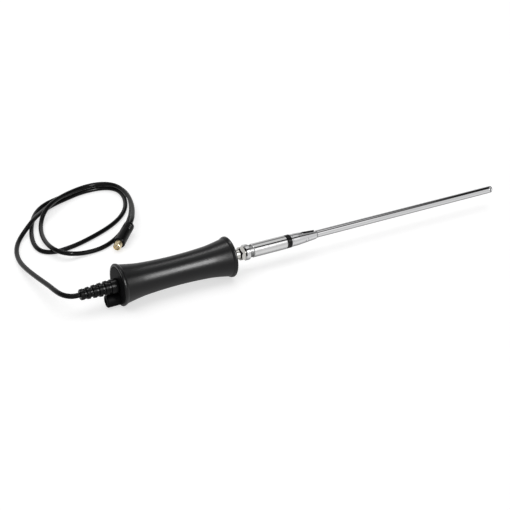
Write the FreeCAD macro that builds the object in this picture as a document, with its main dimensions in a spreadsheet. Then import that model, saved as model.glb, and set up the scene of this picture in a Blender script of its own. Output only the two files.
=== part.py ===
import FreeCAD, Part
import math
import os

import Sketcher
from FreeCAD import Placement, Rotation, Vector

# Whip probe for an oscilloscope: a waisted hand grip with a coaxial jack at its nose, a telescopic
# mast on a bayonet coupling and a folding elbow, and a coaxial cord with a gold plug at its rear.
#
# Every length is in millimetres. x runs along the probe from the rear face of the grip towards the
# mast's tip, r is the distance from the probe's axis, and the grip lies on z = 0. The finished
# pieces are moved back along X, so that the origin is under the middle of the probe.

doc = FreeCAD.newDocument("WhipProbe")
sheet = doc.addObject("Spreadsheet::Sheet", "Sizes")

# Driving sizes: name, millimetres or a count, what it measures
SIZES = [
    ("grip_length", 110.0, "hand grip, rear face to front face"),
    ("flare_radius", 19.25, "largest radius of the grip, at both ends"),
    ("flare_foot_radius", 17.9, "radius of the grip just inside each end bead"),
    ("shoulder_radius", 14.9, "radius of the grip where the flares begin"),
    ("shoulder_reach", 22.0, "from each end of the grip to where its flare begins"),
    ("waist_radius", 13.6, "smallest radius of the grip"),
    ("bead_radius", 1.1, "rounding of the bead at each end of the grip"),
    ("bead_reach", 4.0, "from each end of the grip to the foot of its bead"),
    ("cap_seat_depth", 3.4, "depth of the seat for the caps at the grip's ends"),
    ("cap_groove", 0.35, "open groove between a cap and the grip's bead"),
    ("cap_proud", 0.3, "how far the caps stand out of the grip's ends"),
    ("rear_cap_radius", 16.6, "rear cap"),
    ("nose_cap_radius", 15.0, "nose cap"),
    ("spigot_length", 6.0, "length of the caps' spigots in the core tube"),
    ("spigot_wall", 1.5, "wall of the caps' spigots"),
    ("core_radius", 10.4, "outside radius of the core tube"),
    ("core_wall", 1.5, "wall of the core tube"),
    ("slip", 0.1, "clearance of pieces that slide into each other"),
    ("running", 0.05, "clearance of pieces that turn in each other"),
    ("boss_radius", 5.9, "trimmer boss on the rear cap"),
    ("boss_drop", 13.15, "from the probe's axis down to the boss's axis"),
    ("boss_reach", 11.8, "how far the boss stands out behind the grip"),
    ("boss_edge", 1.2, "rounding of the boss's rear edge"),
    ("trimmer_radius", 3.4, "trimmer body"),
    ("trimmer_length", 7.4, "trimmer body"),
    ("trimmer_inset", 1.0, "trimmer body below the boss's rear face"),
    ("rotor_radius", 2.3, "adjusting screw of the trimmer"),
    ("rotor_length", 5.2, "adjusting screw of the trimmer"),
    ("driver_slot_width", 0.9, "slot for a screwdriver in the adjusting screw"),
    ("driver_slot_depth", 1.1, "slot for a screwdriver in the adjusting screw"),
    ("boot_length", 35.0, "bend relief, rear face of the grip to its end"),
    ("boot_collar_radius", 6.9, "smooth collar of the bend relief"),
    ("boot_collar_length", 7.5, "smooth collar of the bend relief, behind the grip"),
    ("boot_tail_radius", 4.8, "last rib of the bend relief"),
    ("boot_groove", 1.1, "depth of the grooves between the ribs"),
    ("boot_ribs", 5.0, "count of ribs"),
    ("boot_neck_radius", 4.6, "bend relief where it passes through the rear cap"),
    ("boot_flange_radius", 7.0, "bend relief behind the rear cap's wall"),
    ("boot_flange", 2.0, "thickness of that flange"),
    ("cord_radius", 2.3, "jacket of the cord"),
    ("cord_tail", 14.0, "how far the cord reaches into the grip"),
    ("ferrule_wall", 0.5, "crimped ferrule on the cord's end"),
    ("ferrule_length", 5.0, "crimped ferrule on the cord's end"),
    ("board_rear_gap", 8.0, "from the cord's end to the circuit board"),
    ("board_front_gap", 8.0, "from the jack's end to the circuit board"),
    ("board_width", 15.0, "circuit board"),
    ("board_thickness", 1.6, "circuit board"),
    ("board_drop", 2.0, "from the probe's axis down to the board's upper face"),
    ("carrier_length", 4.0, "each of the two rings that hold the board"),
    ("carrier_bore_radius", 6.0, "opening in those rings"),
    ("carrier_inset", 6.0, "from each end of the board to the nearer ring"),
    ("can_length", 17.0, "shield can over the input stage"),
    ("can_width", 11.0, "shield can over the input stage"),
    ("can_height", 4.6, "shield can over the input stage"),
    ("can_wall", 0.4, "sheet of the shield can"),
    ("chip_length", 5.0, "amplifier chip"),
    ("chip_width", 4.0, "amplifier chip"),
    ("chip_height", 1.5, "amplifier chip"),
    ("lead_radius", 0.45, "hook-up wires inside the grip"),
    ("jack_radius", 4.8, "barrel of the jack"),
    ("jack_wall", 0.7, "wall of the jack's open end"),
    ("jack_tail", 12.0, "how far the jack reaches into the grip"),
    ("jack_flange_radius", 6.2, "shoulder that seats on the nose cap"),
    ("jack_flange", 1.6, "thickness of that shoulder"),
    ("wrench_start", 9.5, "front face of the grip to the wrench hexagon"),
    ("wrench_length", 4.7, "wrench hexagon of the jack"),
    ("wrench_flats", 12.4, "width across the flats of the wrench hexagon"),
    ("jack_reach", 25.5, "front face of the grip to the jack's open end"),
    ("jack_core_radius", 2.9, "insulator inside the jack"),
    ("jack_core_proud", 0.5, "how far that insulator stands out of the jack's rear end"),
    ("contact_radius", 1.1, "socket contact of the jack"),
    ("contact_proud", 2.5, "how far that contact stands out of its insulator"),
    ("contact_pin_radius", 0.7, "pin that enters the contact"),
    ("nut_flats", 12.0, "nut that clamps the jack"),
    ("nut_thickness", 2.6, "nut that clamps the jack"),
    ("washer_thickness", 0.6, "toothed washer under that nut"),
    ("washer_radius", 6.9, "toothed washer under that nut"),
    ("lug_radius", 1.0, "bayonet lugs of the jack"),
    ("lug_reach", 5.5, "from the probe's axis to the lugs' ends"),
    ("lug_place", 19.0, "front face of the grip to the lugs"),
    ("cam_clearance", 0.15, "play of the lugs in the bayonet slots"),
    ("cam_turn", 60.0, "degrees that the bayonet ring turns"),
    ("cam_rise", 2.4, "how far that turn draws the plug out"),
    ("ring_start", 14.6, "front face of the grip to the bayonet ring"),
    ("ring_end", 59.5, "front face of the grip to the bayonet ring's far end"),
    ("ring_lip_radius", 7.5, "raised lip of the bayonet ring"),
    ("ring_lip_length", 5.4, "raised lip of the bayonet ring"),
    ("ring_neck_radius", 5.95, "finger groove of the bayonet ring"),
    ("ring_neck_length", 3.6, "finger groove of the bayonet ring"),
    ("ring_sleeve_radius", 6.6, "polished sleeve of the bayonet ring"),
    ("ring_sleeve_wall", 0.5, "polished sleeve of the bayonet ring"),
    ("ring_edge", 0.45, "broken edges of the bayonet ring"),
    ("dimple_radius", 0.8, "grip dimples in the ring's groove"),
    ("dimple_depth", 0.45, "grip dimples in the ring's groove"),
    ("dimple_count", 10.0, "count of grip dimples"),
    ("plug_sleeve_radius", 4.0, "outer contact of the mast's plug"),
    ("plug_sleeve_wall", 0.6, "outer contact of the mast's plug"),
    ("plug_sleeve_gap", 0.8, "end play of that contact inside the jack"),
    ("plug_flange", 1.4, "flange that the ring presses on"),
    ("plug_shaft_radius", 3.9, "shaft of the mast's plug"),
    ("gland_length", 6.0, "gland that closes the ring's sleeve"),
    ("plug_core_radius", 2.6, "insulator inside the mast's plug"),
    ("plug_rod_radius", 1.2, "conductor through the mast's plug"),
    ("gasket_thickness", 0.6, "rubber ring at the jack's open end"),
    ("spring_thickness", 0.9, "spring washer behind the plug's flange"),
    ("ring_web", 2.0, "inner wall of the bayonet ring"),
    ("insulator_start", 60.0, "front face of the grip to the black ring"),
    ("insulator_length", 4.6, "black insulating ring"),
    ("insulator_radius", 6.5, "black insulating ring"),
    ("collar_radius", 6.2, "collar in front of the black ring"),
    ("collar_length", 1.6, "collar in front of the black ring"),
    ("post_radius", 2.4, "post that the elbow turns on"),
    ("post_length", 7.6, "post that the elbow turns on"),
    ("fork_end", 93.0, "front face of the grip to the fork's open end"),
    ("fork_radius", 6.1, "fork, at the collar"),
    ("fork_straight", 5.5, "fork's straight stretch, before its taper"),
    ("fork_end_radius", 4.5, "fork, at its open end"),
    ("pivot_place", 81.5, "front face of the grip to the elbow's pivot"),
    ("pivot_radius", 1.0, "rivet of the elbow"),
    ("rivet_head_radius", 1.7, "heads of that rivet"),
    ("rivet_head", 0.55, "height of those heads"),
    ("rivet_sink", 0.35, "depth of the flat seats under those heads"),
    ("tongue_thickness", 3.4, "tongue of the mast's foot"),
    ("tongue_radius", 3.2, "round end and half height of the tongue"),
    ("tongue_neck", 2.2, "half height of the tongue ahead of its round end"),
    ("mast_end", 307.6, "front face of the grip to the outer tube's end"),
    ("tip_end", 311.0, "front face of the grip to the mast's tip"),
    ("mast_radius", 3.65, "outer tube of the mast"),
    ("mast_wall", 0.25, "walls of the mast's tubes"),
    ("mast_step", 0.6, "each tube's radius less the next one's"),
    ("rod_wall", 0.35, "wall of the innermost tube, which carries the tip"),
    ("mast_foot_plug", 8.0, "how far the foot enters the outer tube"),
    ("section_start", 106.0, "front face of the grip to the inner tubes' feet"),
    ("section_stagger", 1.2, "each inner tube's foot ahead of the one before"),
    ("section_proud", 0.3, "each inner tube's end ahead of the one before"),
    ("guide_length", 6.0, "spring sleeve at each inner tube's foot"),
    ("mouth_length", 3.0, "closed-in mouth of each tube"),
    ("tip_radius", 3.6, "tip button"),
    ("tip_edge", 0.9, "rounding of the tip button"),
    ("cord_plug_front_radius", 5.8, "moulded plug of the cord, at its front"),
    ("cord_plug_rear_radius", 5.4, "moulded plug of the cord, at its rear"),
    ("cord_plug_rings", 3.0, "count of grip rings on the moulded plug"),
    ("gold_radius", 3.8, "gold sleeve of the cord's plug"),
    ("gold_length", 7.0, "gold sleeve of the cord's plug"),
    ("gold_wall", 0.7, "gold sleeve of the cord's plug"),
    ("gold_pin_radius", 0.75, "centre pin of the cord's plug"),
]


class Size:
    """A length with its number and the expression that keeps it bound to the sheet."""

    def __init__(self, value, text):
        self.value = value
        self.text = text

    @staticmethod
    def of(other):
        if isinstance(other, Size):
            return other
        return Size(float(other), repr(float(other)))

    def join(self, other, sign, value):
        return Size(value, "(%s %s %s)" % (self.text, sign, other.text))

    def __add__(self, other):
        other = Size.of(other)
        return self.join(other, "+", self.value + other.value)

    def __sub__(self, other):
        other = Size.of(other)
        return self.join(other, "-", self.value - other.value)

    def __mul__(self, other):
        other = Size.of(other)
        return self.join(other, "*", self.value * other.value)

    def __truediv__(self, other):
        other = Size.of(other)
        return self.join(other, "/", self.value / other.value)

    def __radd__(self, other):
        return Size.of(other) + self

    def __rsub__(self, other):
        return Size.of(other) - self

    def __neg__(self):
        return Size(-self.value, "(0 - %s)" % self.text)


def hypot(a, b):
    """The long side of a right triangle."""
    return Size(math.hypot(a.value, b.value), "sqrt(%s ^ 2 + %s ^ 2)" % (a.text, b.text))


def fill_sheet():
    """Write the driving sizes into the sheet and return them by name."""
    named = {}
    for row, (name, value, note) in enumerate(SIZES, start=1):
        sheet.set("A%d" % row, name)
        sheet.set("B%d" % row, str(value))
        sheet.set("C%d" % row, note)
        sheet.setAlias("B%d" % row, name)
        named[name] = Size(value, "Sizes.%s" % name)
    doc.recompute()
    return named


size = fill_sheet()
ZERO = Size(0.0, "0")
FRONT = size["grip_length"]
AXIS_HEIGHT = size["flare_radius"]
ORIGIN_X = (FRONT + size["tip_end"] - size["boot_length"]) / 2
CORE_BORE = size["core_radius"] - size["core_wall"]
BOARD_START = size["cord_tail"] + size["board_rear_gap"]
BOARD_END = FRONT - size["jack_tail"] - size["board_front_gap"]

nodes = {}


def ahead(name):
    """A place given from the grip's front face, as x."""
    return FRONT + size[name]


# Building blocks

def bind(item, **expressions):
    """Bind properties of an object to sizes."""
    for name, value in expressions.items():
        item.setExpression(name, Size.of(value).text)


def place(item, x=0.0, y=0.0, z=0.0, rotation=None, on_axis=True):
    """Put an object at x along the probe, with y and z measured from the probe's axis."""
    x, y, z = Size.of(x), Size.of(y), Size.of(z)
    height = AXIS_HEIGHT + z if on_axis else z
    item.Placement = Placement(Vector(0, 0, 0), rotation or Rotation())
    item.setExpression("Placement.Base.x", (x - ORIGIN_X).text)
    item.setExpression("Placement.Base.y", y.text)
    item.setExpression("Placement.Base.z", height.text)
    return item


ALONG_X = Rotation(Vector(0, 1, 0), 90)
ALONG_Y = Rotation(Vector(1, 0, 0), -90)
# Turns z onto the probe's axis and x onto Y, where angles about the axis start
HELIX_ONTO_AXIS = Rotation(Vector(1, 0, 0), 90).multiply(ALONG_X)
LUG_ANGLES = (0.0, 180.0)


def radial(item, x, angle, reach, aside=0.0):
    """Stand an object out from the probe's axis at x, turned by an angle from +Y towards +Z."""
    turn = math.radians(angle)
    reach, aside = Size.of(reach), Size.of(aside)
    y = reach * math.cos(turn) + aside * math.sin(turn)
    z = reach * math.sin(turn) - aside * math.cos(turn)
    return place(item, x, y, z, Rotation(Vector(1, 0, 0), angle - 90))


def keep(label, item):
    """Register a finished sub-part under its node's name."""
    item.Label = label
    nodes[label] = item
    return item


def pin_point(sketch, geometry, end, x, y):
    """Fix one end of a sketch element at x, y, bound to its sizes."""
    for kind, value, axis in (("DistanceX", x, -2), ("DistanceY", y, -1)):
        if value.value == 0.0:
            sketch.addConstraint(Sketcher.Constraint("PointOnObject", geometry, end, axis))
            continue
        number = sketch.addConstraint(Sketcher.Constraint(kind, -1, 1, geometry, end, value.value))
        sketch.setExpression("Constraints[%d]" % number, value.text)


def draw_outline(sketch, outline):
    """Draw a closed outline of (x, r) points. A point marked "via" bends its stretch to an arc."""
    corners = [spot for spot in outline if len(spot) == 2]
    stretches = []
    via = None
    for spot in outline[1:] + outline[:1]:
        if len(spot) == 3:
            via = spot
            continue
        stretches.append(via)
        via = None
    points = [Vector(Size.of(x).value, Size.of(r).value, 0) for x, r in corners]
    count = len(points)
    for index, bend in enumerate(stretches):
        start, stop = points[index], points[(index + 1) % count]
        if bend is None:
            sketch.addGeometry(Part.LineSegment(start, stop), False)
        else:
            middle = Vector(Size.of(bend[0]).value, Size.of(bend[1]).value, 0)
            sketch.addGeometry(Part.Arc(start, middle, stop), False)
    forward = []
    for index in range(count):
        near = sketch.getPoint(index, 1).distanceToPoint(points[index]) < 1e-6
        forward.append(near)
    for index in range(count):
        after = (index + 1) % count
        this_end = 2 if forward[index] else 1
        next_start = 1 if forward[after] else 2
        sketch.addConstraint(Sketcher.Constraint("Coincident", index, this_end, after, next_start))
    for index, (x, r) in enumerate(corners):
        pin_point(sketch, index, 1 if forward[index] else 2, Size.of(x), Size.of(r))
    for index, bend in enumerate(stretches):
        if bend is None:
            continue
        middle = Vector(Size.of(bend[0]).value, Size.of(bend[1]).value, 0)
        number = sketch.addGeometry(Part.Point(middle), True)
        pin_point(sketch, number, 1, Size.of(bend[0]), Size.of(bend[1]))
        sketch.addConstraint(Sketcher.Constraint("PointOnObject", number, 1, index))


def origin_plane(body, role):
    """The plane of a body's own origin that has this role."""
    return [item for item in body.Origin.OriginFeatures if item.Role == role][0]


def new_sketch(body, name, role="XY_Plane"):
    """An empty sketch on one of the body's own planes."""
    sketch = body.newObject("Sketcher::SketchObject", name)
    sketch.AttachmentSupport = [(origin_plane(body, role), "")]
    sketch.MapMode = "FlatFace"
    return sketch


def turned(label, outline, on_axis=True):
    """A piece turned about the probe's axis, as a body with one revolved sketch."""
    body = doc.addObject("PartDesign::Body", label + "_turned")
    sketch = new_sketch(body, label + "_outline")
    draw_outline(sketch, outline)
    feature = body.newObject("PartDesign::Revolution", label + "_revolved")
    feature.Profile = sketch
    feature.ReferenceAxis = (sketch, ["H_Axis"])
    feature.Angle = 360.0
    if on_axis:
        place(body)
    return body


def rod(name, start, end, radius, y=0.0, z=0.0):
    """A round bar along X, from x = start to x = end."""
    bar = doc.addObject("Part::Cylinder", name)
    bind(bar, Radius=radius, Height=Size.of(end) - Size.of(start))
    return place(bar, start, y, z, ALONG_X)


def block(name, start, length, width, bottom, height, y=None):
    """A box along X, centred on y, standing on bottom (measured from the axis)."""
    box = doc.addObject("Part::Box", name)
    bind(box, Length=length, Width=width, Height=height)
    middle = Size.of(0.0 if y is None else y)
    return place(box, start, middle - Size.of(width) / 2, bottom)


def cut(name, base, tools):
    """The base less its tools, each taken away in turn."""
    for number, tool in enumerate(tools, start=1):
        step = name if number == len(tools) else "%s_step_%d" % (name, number)
        result = doc.addObject("Part::Cut", step)
        result.Base = base
        result.Tool = tool
        base = result
    return base


def fuse(name, items):
    """Several solids made one."""
    result = doc.addObject("Part::MultiFuse", name)
    result.Shapes = items
    return result


def group(name, items):
    """Several solids in one node, each still its own solid."""
    result = doc.addObject("Part::Compound", name)
    result.Links = items
    return result


def hexagon(name, start, length, flats):
    """A six-sided prism along X."""
    prism = doc.addObject("Part::Prism", name)
    prism.Polygon = 6
    bind(prism, Circumradius=Size.of(flats) / (2 * math.cos(math.pi / 6)), Height=length)
    return place(prism, start, 0.0, 0.0, ALONG_X)


# Hand grip and what it holds

def make_grip():
    """Moulded hourglass sleeve with a bead at each end and a seat for each cap."""
    flare, bead = size["flare_radius"], size["bead_radius"]
    foot, foot_x = size["flare_foot_radius"], size["bead_reach"]
    shoulder, shoulder_x = size["shoulder_radius"], size["shoulder_reach"]
    rear_seat = size["rear_cap_radius"] + size["cap_groove"]
    nose_seat = size["nose_cap_radius"] + size["cap_groove"]
    bore = size["core_radius"] + size["slip"]
    depth = size["cap_seat_depth"]
    knee = bead * (1 - math.cos(math.pi / 4))
    flare_x = (foot_x + shoulder_x) / 2
    flare_r = (foot + shoulder) / 2 - 0.22
    outline = [
        (ZERO, rear_seat),
        (ZERO, flare - bead),
        (knee, flare - knee, "via"),
        (bead, flare),
        (bead + (foot_x - bead) * 0.62, flare - (flare - foot) * 0.38, "via"),
        (foot_x, foot),
        (flare_x, flare_r, "via"),
        (shoulder_x, shoulder),
        (FRONT / 2, size["waist_radius"], "via"),
        (FRONT - shoulder_x, shoulder),
        (FRONT - flare_x, flare_r, "via"),
        (FRONT - foot_x, foot),
        (FRONT - bead - (foot_x - bead) * 0.62, flare - (flare - foot) * 0.38, "via"),
        (FRONT - bead, flare),
        (FRONT - knee, flare - knee, "via"),
        (FRONT, flare - bead),
        (FRONT, nose_seat),
        (FRONT - depth, nose_seat),
        (FRONT - depth, bore),
        (depth, bore),
        (depth, rear_seat),
    ]
    keep("grip_sleeve", turned("grip_sleeve", outline))


def make_core_tube():
    """Thin metal tube that carries both caps and shields the board."""
    depth = size["cap_seat_depth"]
    outline = [
        (depth, CORE_BORE),
        (depth, size["core_radius"]),
        (FRONT - depth, size["core_radius"]),
        (FRONT - depth, CORE_BORE),
    ]
    keep("core_tube", turned("core_tube", outline))


def make_rear_cap():
    """Rear cap with a spigot in the core tube and a round boss for the trimmer."""
    proud, depth = size["cap_proud"], size["cap_seat_depth"]
    spigot = CORE_BORE - size["slip"]
    neck = size["boot_neck_radius"] + size["slip"]
    inner = spigot - size["spigot_wall"]
    outline = [
        (-proud, neck),
        (-proud, size["rear_cap_radius"] - proud),
        (ZERO, size["rear_cap_radius"]),
        (depth, size["rear_cap_radius"]),
        (depth, spigot),
        (depth + size["spigot_length"], spigot),
        (depth + size["spigot_length"], inner),
        (depth, inner),
        (depth, neck),
    ]
    disc = turned("rear_cap", outline)
    drop = -size["boss_drop"]
    boss = rod("boss_blank", -size["boss_reach"], -proud, size["boss_radius"], 0.0, drop)
    rounded = doc.addObject("Part::Fillet", "boss_rounded")
    rounded.Base = boss
    rounded.Edges = [(rear_edge(boss), size["boss_edge"].value, size["boss_edge"].value)]
    bore = rod(
        "boss_bore",
        -size["boss_reach"] - 1.0,
        -size["boss_reach"] + size["trimmer_inset"] + size["trimmer_length"],
        size["trimmer_radius"] + size["slip"],
        0.0,
        drop,
    )
    keep("rear_cap", cut("rear_cap_bored", fuse("rear_cap_solid", [disc, rounded]), [bore]))


def rear_edge(bar):
    """Number of a bar's round edge that lies furthest back."""
    doc.recompute()
    edges = bar.Shape.Edges
    backs = [edge.BoundBox.XMax if edge.Closed else 1e9 for edge in edges]
    return backs.index(min(backs)) + 1


def make_trimmer():
    """Compensation trimmer: a fixed body in the boss and a slotted screw that turns in it."""
    drop = -size["boss_drop"]
    back = -size["boss_reach"] + size["trimmer_inset"]
    rotor_back = back + 0.5
    body = rod("trimmer_blank", back, back + size["trimmer_length"], size["trimmer_radius"], 0.0, drop)
    well = rod(
        "trimmer_well",
        back - 1.0,
        rotor_back + size["rotor_length"] + size["running"],
        size["rotor_radius"] + size["running"],
        0.0,
        drop,
    )
    keep("trimmer_body", cut("trimmer_body_bored", body, [well]))
    screw = rod("rotor_blank", rotor_back, rotor_back + size["rotor_length"], size["rotor_radius"], 0.0, drop)
    slot_width = size["driver_slot_width"]
    slot = block(
        "driver_slot",
        rotor_back - 1.0,
        size["driver_slot_depth"] + 1.0,
        slot_width,
        drop - size["rotor_radius"] - 1.0,
        size["rotor_radius"] * 2 + 2.0,
    )
    keep("trimmer_screw", cut("trimmer_screw_slotted", screw, [slot]))


def make_nose_cap():
    """Nose cap with a spigot in the core tube and a hole for the jack."""
    proud, depth = size["cap_proud"], size["cap_seat_depth"]
    spigot = CORE_BORE - size["slip"]
    inner = spigot - size["spigot_wall"]
    hole = size["jack_radius"] + size["slip"]
    wall = FRONT - depth
    outline = [
        (FRONT + proud, hole),
        (FRONT + proud, size["nose_cap_radius"] - proud),
        (FRONT, size["nose_cap_radius"]),
        (wall, size["nose_cap_radius"]),
        (wall, spigot),
        (wall - size["spigot_length"], spigot),
        (wall - size["spigot_length"], inner),
        (wall, inner),
        (wall, hole),
    ]
    keep("nose_cap", turned("nose_cap", outline))


def make_boot():
    """Ribbed bend relief: flange and neck in the rear cap, a smooth collar, then tapering ribs."""
    proud, depth = size["cap_proud"], size["cap_seat_depth"]
    bore = size["cord_radius"] + size["slip"]
    collar, tail = size["boot_collar_radius"], size["boot_tail_radius"]
    end, collar_end = -size["boot_length"], -size["boot_collar_length"]
    ribs = int(size["boot_ribs"].value)
    pitch = (size["boot_length"] - size["boot_collar_length"]) / ribs
    outline = [
        (depth + size["boot_flange"], bore),
        (depth + size["boot_flange"], size["boot_flange_radius"]),
        (depth, size["boot_flange_radius"]),
        (depth, size["boot_neck_radius"]),
        (-proud, size["boot_neck_radius"]),
        (-proud, collar - 0.4),
        (-proud - 0.9, collar),
        (collar_end + 0.6, collar - 0.2),
    ]
    for rib in range(ribs):
        start = collar_end - pitch * rib
        share = (rib + 0.5) / ribs
        crest = collar - (collar - tail) * share
        outline += [
            (start, crest - size["boot_groove"]),
            (start - pitch * 0.28, crest - size["boot_groove"]),
            (start - pitch * 0.42, crest),
            (start - pitch * 0.88, crest - 0.15),
        ]
    outline += [(end, tail - size["boot_groove"] * 0.5), (end, bore)]
    keep("boot", turned("boot", outline))


def make_cord_tail():
    """The cord inside the bend relief and the crimped ferrule on its end."""
    end = -size["boot_length"]
    radius = size["cord_radius"]
    keep("cord_tail", rod("cord_tail_rod", end, size["cord_tail"], radius))
    outer = radius + size["ferrule_wall"]
    blank = rod("ferrule_blank", size["cord_tail"] - size["ferrule_length"], size["cord_tail"], outer)
    tight = rod("ferrule_bore", 0.0, size["cord_tail"] + 1.0, radius)
    keep("cord_ferrule", cut("cord_ferrule_bored", blank, [tight]))


def make_board():
    """Circuit board, the two rings that hold it and what is soldered to it."""
    top = -size["board_drop"]
    under = top - size["board_thickness"]
    start, length = BOARD_START, BOARD_END - BOARD_START
    board = block("board_blank", start, length, size["board_width"], under, size["board_thickness"])
    keep("circuit_board", board)

    rings = []
    near = start + size["carrier_inset"]
    far = start + length - size["carrier_inset"] - size["carrier_length"]
    for index, place_x in enumerate((near, far)):
        stop = place_x + size["carrier_length"]
        blank = rod("carrier_blank_%d" % index, place_x, stop, CORE_BORE - size["slip"])
        hole = rod("carrier_hole_%d" % index, place_x - 1.0, stop + 1.0, size["carrier_bore_radius"])
        slot = block(
            "carrier_slot_%d" % index,
            place_x - 1.0,
            size["carrier_length"] + 2.0,
            size["board_width"] + size["slip"] * 2,
            under - size["slip"],
            size["board_thickness"] + size["slip"] * 2,
        )
        rings.append(cut("carrier_%d" % index, blank, [hole, slot]))
    keep("board_carriers", group("board_carriers_pair", rings))

    can_x = far - size["can_length"] - 2.0
    wall = size["can_wall"]
    shell = block("can_shell", can_x, size["can_length"], size["can_width"], top, size["can_height"])
    inside = block(
        "can_inside",
        can_x + wall,
        size["can_length"] - wall * 2,
        size["can_width"] - wall * 2,
        top - 1.0,
        size["can_height"] + 1.0 - wall,
    )
    keep("shield_can", cut("shield_can_hollow", shell, [inside]))

    chip_x = start + length * 0.3
    body = block("chip_body", chip_x, size["chip_length"], size["chip_width"], top + 0.1, size["chip_height"])
    pieces = [body]
    for leg in range(4):
        leg_x = chip_x + size["chip_length"] * (0.125 + 0.25 * leg) - 0.2
        pieces.append(block("chip_leg_%d" % leg, leg_x, 0.4, size["chip_width"] + 2.0, top, 0.3))
    keep("amplifier_chip", fuse("amplifier_chip_solid", pieces))

    resistor_x = start + length * 0.42
    lift = top + 1.2
    body = rod("resistor_body", resistor_x, resistor_x + 6.5, 1.2, 0.0, lift)
    wire = rod("resistor_wire", resistor_x - 2.0, resistor_x + 8.5, 0.3, 0.0, lift)
    feet = [
        block("resistor_foot_%d" % index, foot_x, 0.5, 0.5, top, 1.3)
        for index, foot_x in enumerate((resistor_x - 2.0, resistor_x + 8.0))
    ]
    keep("input_resistor", fuse("input_resistor_solid", [body, wire] + feet))

    discs = []
    for index, (share, side) in enumerate(((0.24, -3.6), (0.24, 3.6), (0.46, 5.2))):
        disc = doc.addObject("Part::Cylinder", "capacitor_%d" % index)
        bind(disc, Radius=1.7, Height=3.4)
        place(disc, start + length * share, side, top)
        discs.append(disc)
    keep("capacitors", group("capacitors_group", discs))


def wire_run(label, spots, radius):
    """A bent wire through spots given as (x, z) from the probe's axis, at its own radius."""
    points = [Vector((x - ORIGIN_X).value, 0, (AXIS_HEIGHT + z).value) for x, z in spots]
    wire = rounded_path(points)
    direction = (points[1] - points[0]).normalize()
    ring = Part.Wire(Part.makeCircle(radius, points[0], direction))
    item = doc.addObject("Part::Feature", label + "_wire")
    item.Shape = wire.makePipeShell([ring], True, False)
    keep(label, item)


def make_inner_leads():
    """Hook-up wires from the jack's contact and from the cord to the board."""
    radius = size["lead_radius"].value
    top = -size["board_drop"]
    contact_end = FRONT - size["jack_tail"] - size["jack_core_proud"] - size["contact_proud"]
    wire_run(
        "signal_lead",
        [(contact_end, ZERO), (contact_end - 3.0, ZERO), (BOARD_END - 1.5, top + radius), (BOARD_END - 5.0, top + radius)],
        radius,
    )
    cord_end = size["cord_tail"]
    wire_run(
        "cord_core_lead",
        [(cord_end, ZERO), (cord_end + 3.0, ZERO), (BOARD_START + 1.5, top + radius), (BOARD_START + 4.5, top + radius)],
        radius,
    )


# Jack on the nose of the grip

def jack_floor():
    """x where the jack's open bore ends, just past its wrench hexagon."""
    return ahead("wrench_start") + size["wrench_length"] + 1.0


def make_jack():
    """Jack body with its seat shoulder, wrench hexagon and two bayonet lugs."""
    proud = size["cap_proud"]
    radius, wall = size["jack_radius"], size["jack_wall"]
    core = size["jack_core_radius"] + size["slip"]
    seat = FRONT + proud
    reach = ahead("jack_reach")
    hex_start = ahead("wrench_start")
    hex_end = hex_start + size["wrench_length"]
    outline = [
        (FRONT - size["jack_tail"], core),
        (FRONT - size["jack_tail"], radius - 0.4),
        (FRONT - size["jack_tail"] + 0.4, radius),
        (seat, radius),
        (seat, size["jack_flange_radius"]),
        (seat + size["jack_flange"] - 0.4, size["jack_flange_radius"]),
        (seat + size["jack_flange"], size["jack_flange_radius"] - 0.4),
        (seat + size["jack_flange"], radius),
        (reach - 0.3, radius),
        (reach, radius - 0.3),
        (reach, radius - wall),
        (jack_floor(), radius - wall),
        (jack_floor(), core),
    ]
    barrel = turned("jack_barrel", outline)
    prism = hexagon("wrench_prism", hex_start, size["wrench_length"], size["wrench_flats"])
    cone = doc.addObject("Part::Cone", "wrench_cone")
    slope = size["wrench_length"] * 1.1
    bind(cone, Radius1=radius + 0.3, Radius2=radius + 0.3 + slope, Height=size["wrench_length"])
    place(cone, hex_start, 0.0, 0.0, ALONG_X)
    nut = doc.addObject("Part::MultiCommon", "wrench_hexagon")
    nut.Shapes = [prism, cone]
    hollow = rod("wrench_bore", hex_start - 1.0, hex_end + 1.0, radius - 0.2)
    wrench = cut("wrench_ring", nut, [hollow])

    lugs = []
    inner = radius - wall * 0.5
    for index, angle in enumerate(LUG_ANGLES):
        lug = doc.addObject("Part::Cylinder", "lug_%d" % index)
        bind(lug, Radius=size["lug_radius"], Height=size["lug_reach"] - inner)
        lugs.append(radial(lug, ahead("lug_place"), angle, inner))
    keep("jack_body", fuse("jack_body_solid", [barrel, wrench] + lugs))


def make_jack_inside():
    """Insulator and socket contact inside the jack."""
    core = size["jack_core_radius"]
    contact = size["contact_radius"]
    back = FRONT - size["jack_tail"] - size["jack_core_proud"]
    front = ahead("lug_place") - 1.0
    outline = [
        (back, contact + size["slip"]),
        (back, core),
        (front, core),
        (front, contact + size["slip"]),
    ]
    keep("jack_insulator", turned("jack_insulator", outline))

    socket_front = front - 0.5
    socket_back = ahead("wrench_start")
    pin_bore = size["contact_pin_radius"] + size["running"]
    outline = [
        (back - size["contact_proud"], ZERO),
        (back - size["contact_proud"], contact),
        (socket_front, contact),
        (socket_front, pin_bore),
        (socket_back, pin_bore),
        (socket_back, ZERO),
    ]
    keep("jack_contact", turned("jack_contact", outline))


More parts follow.
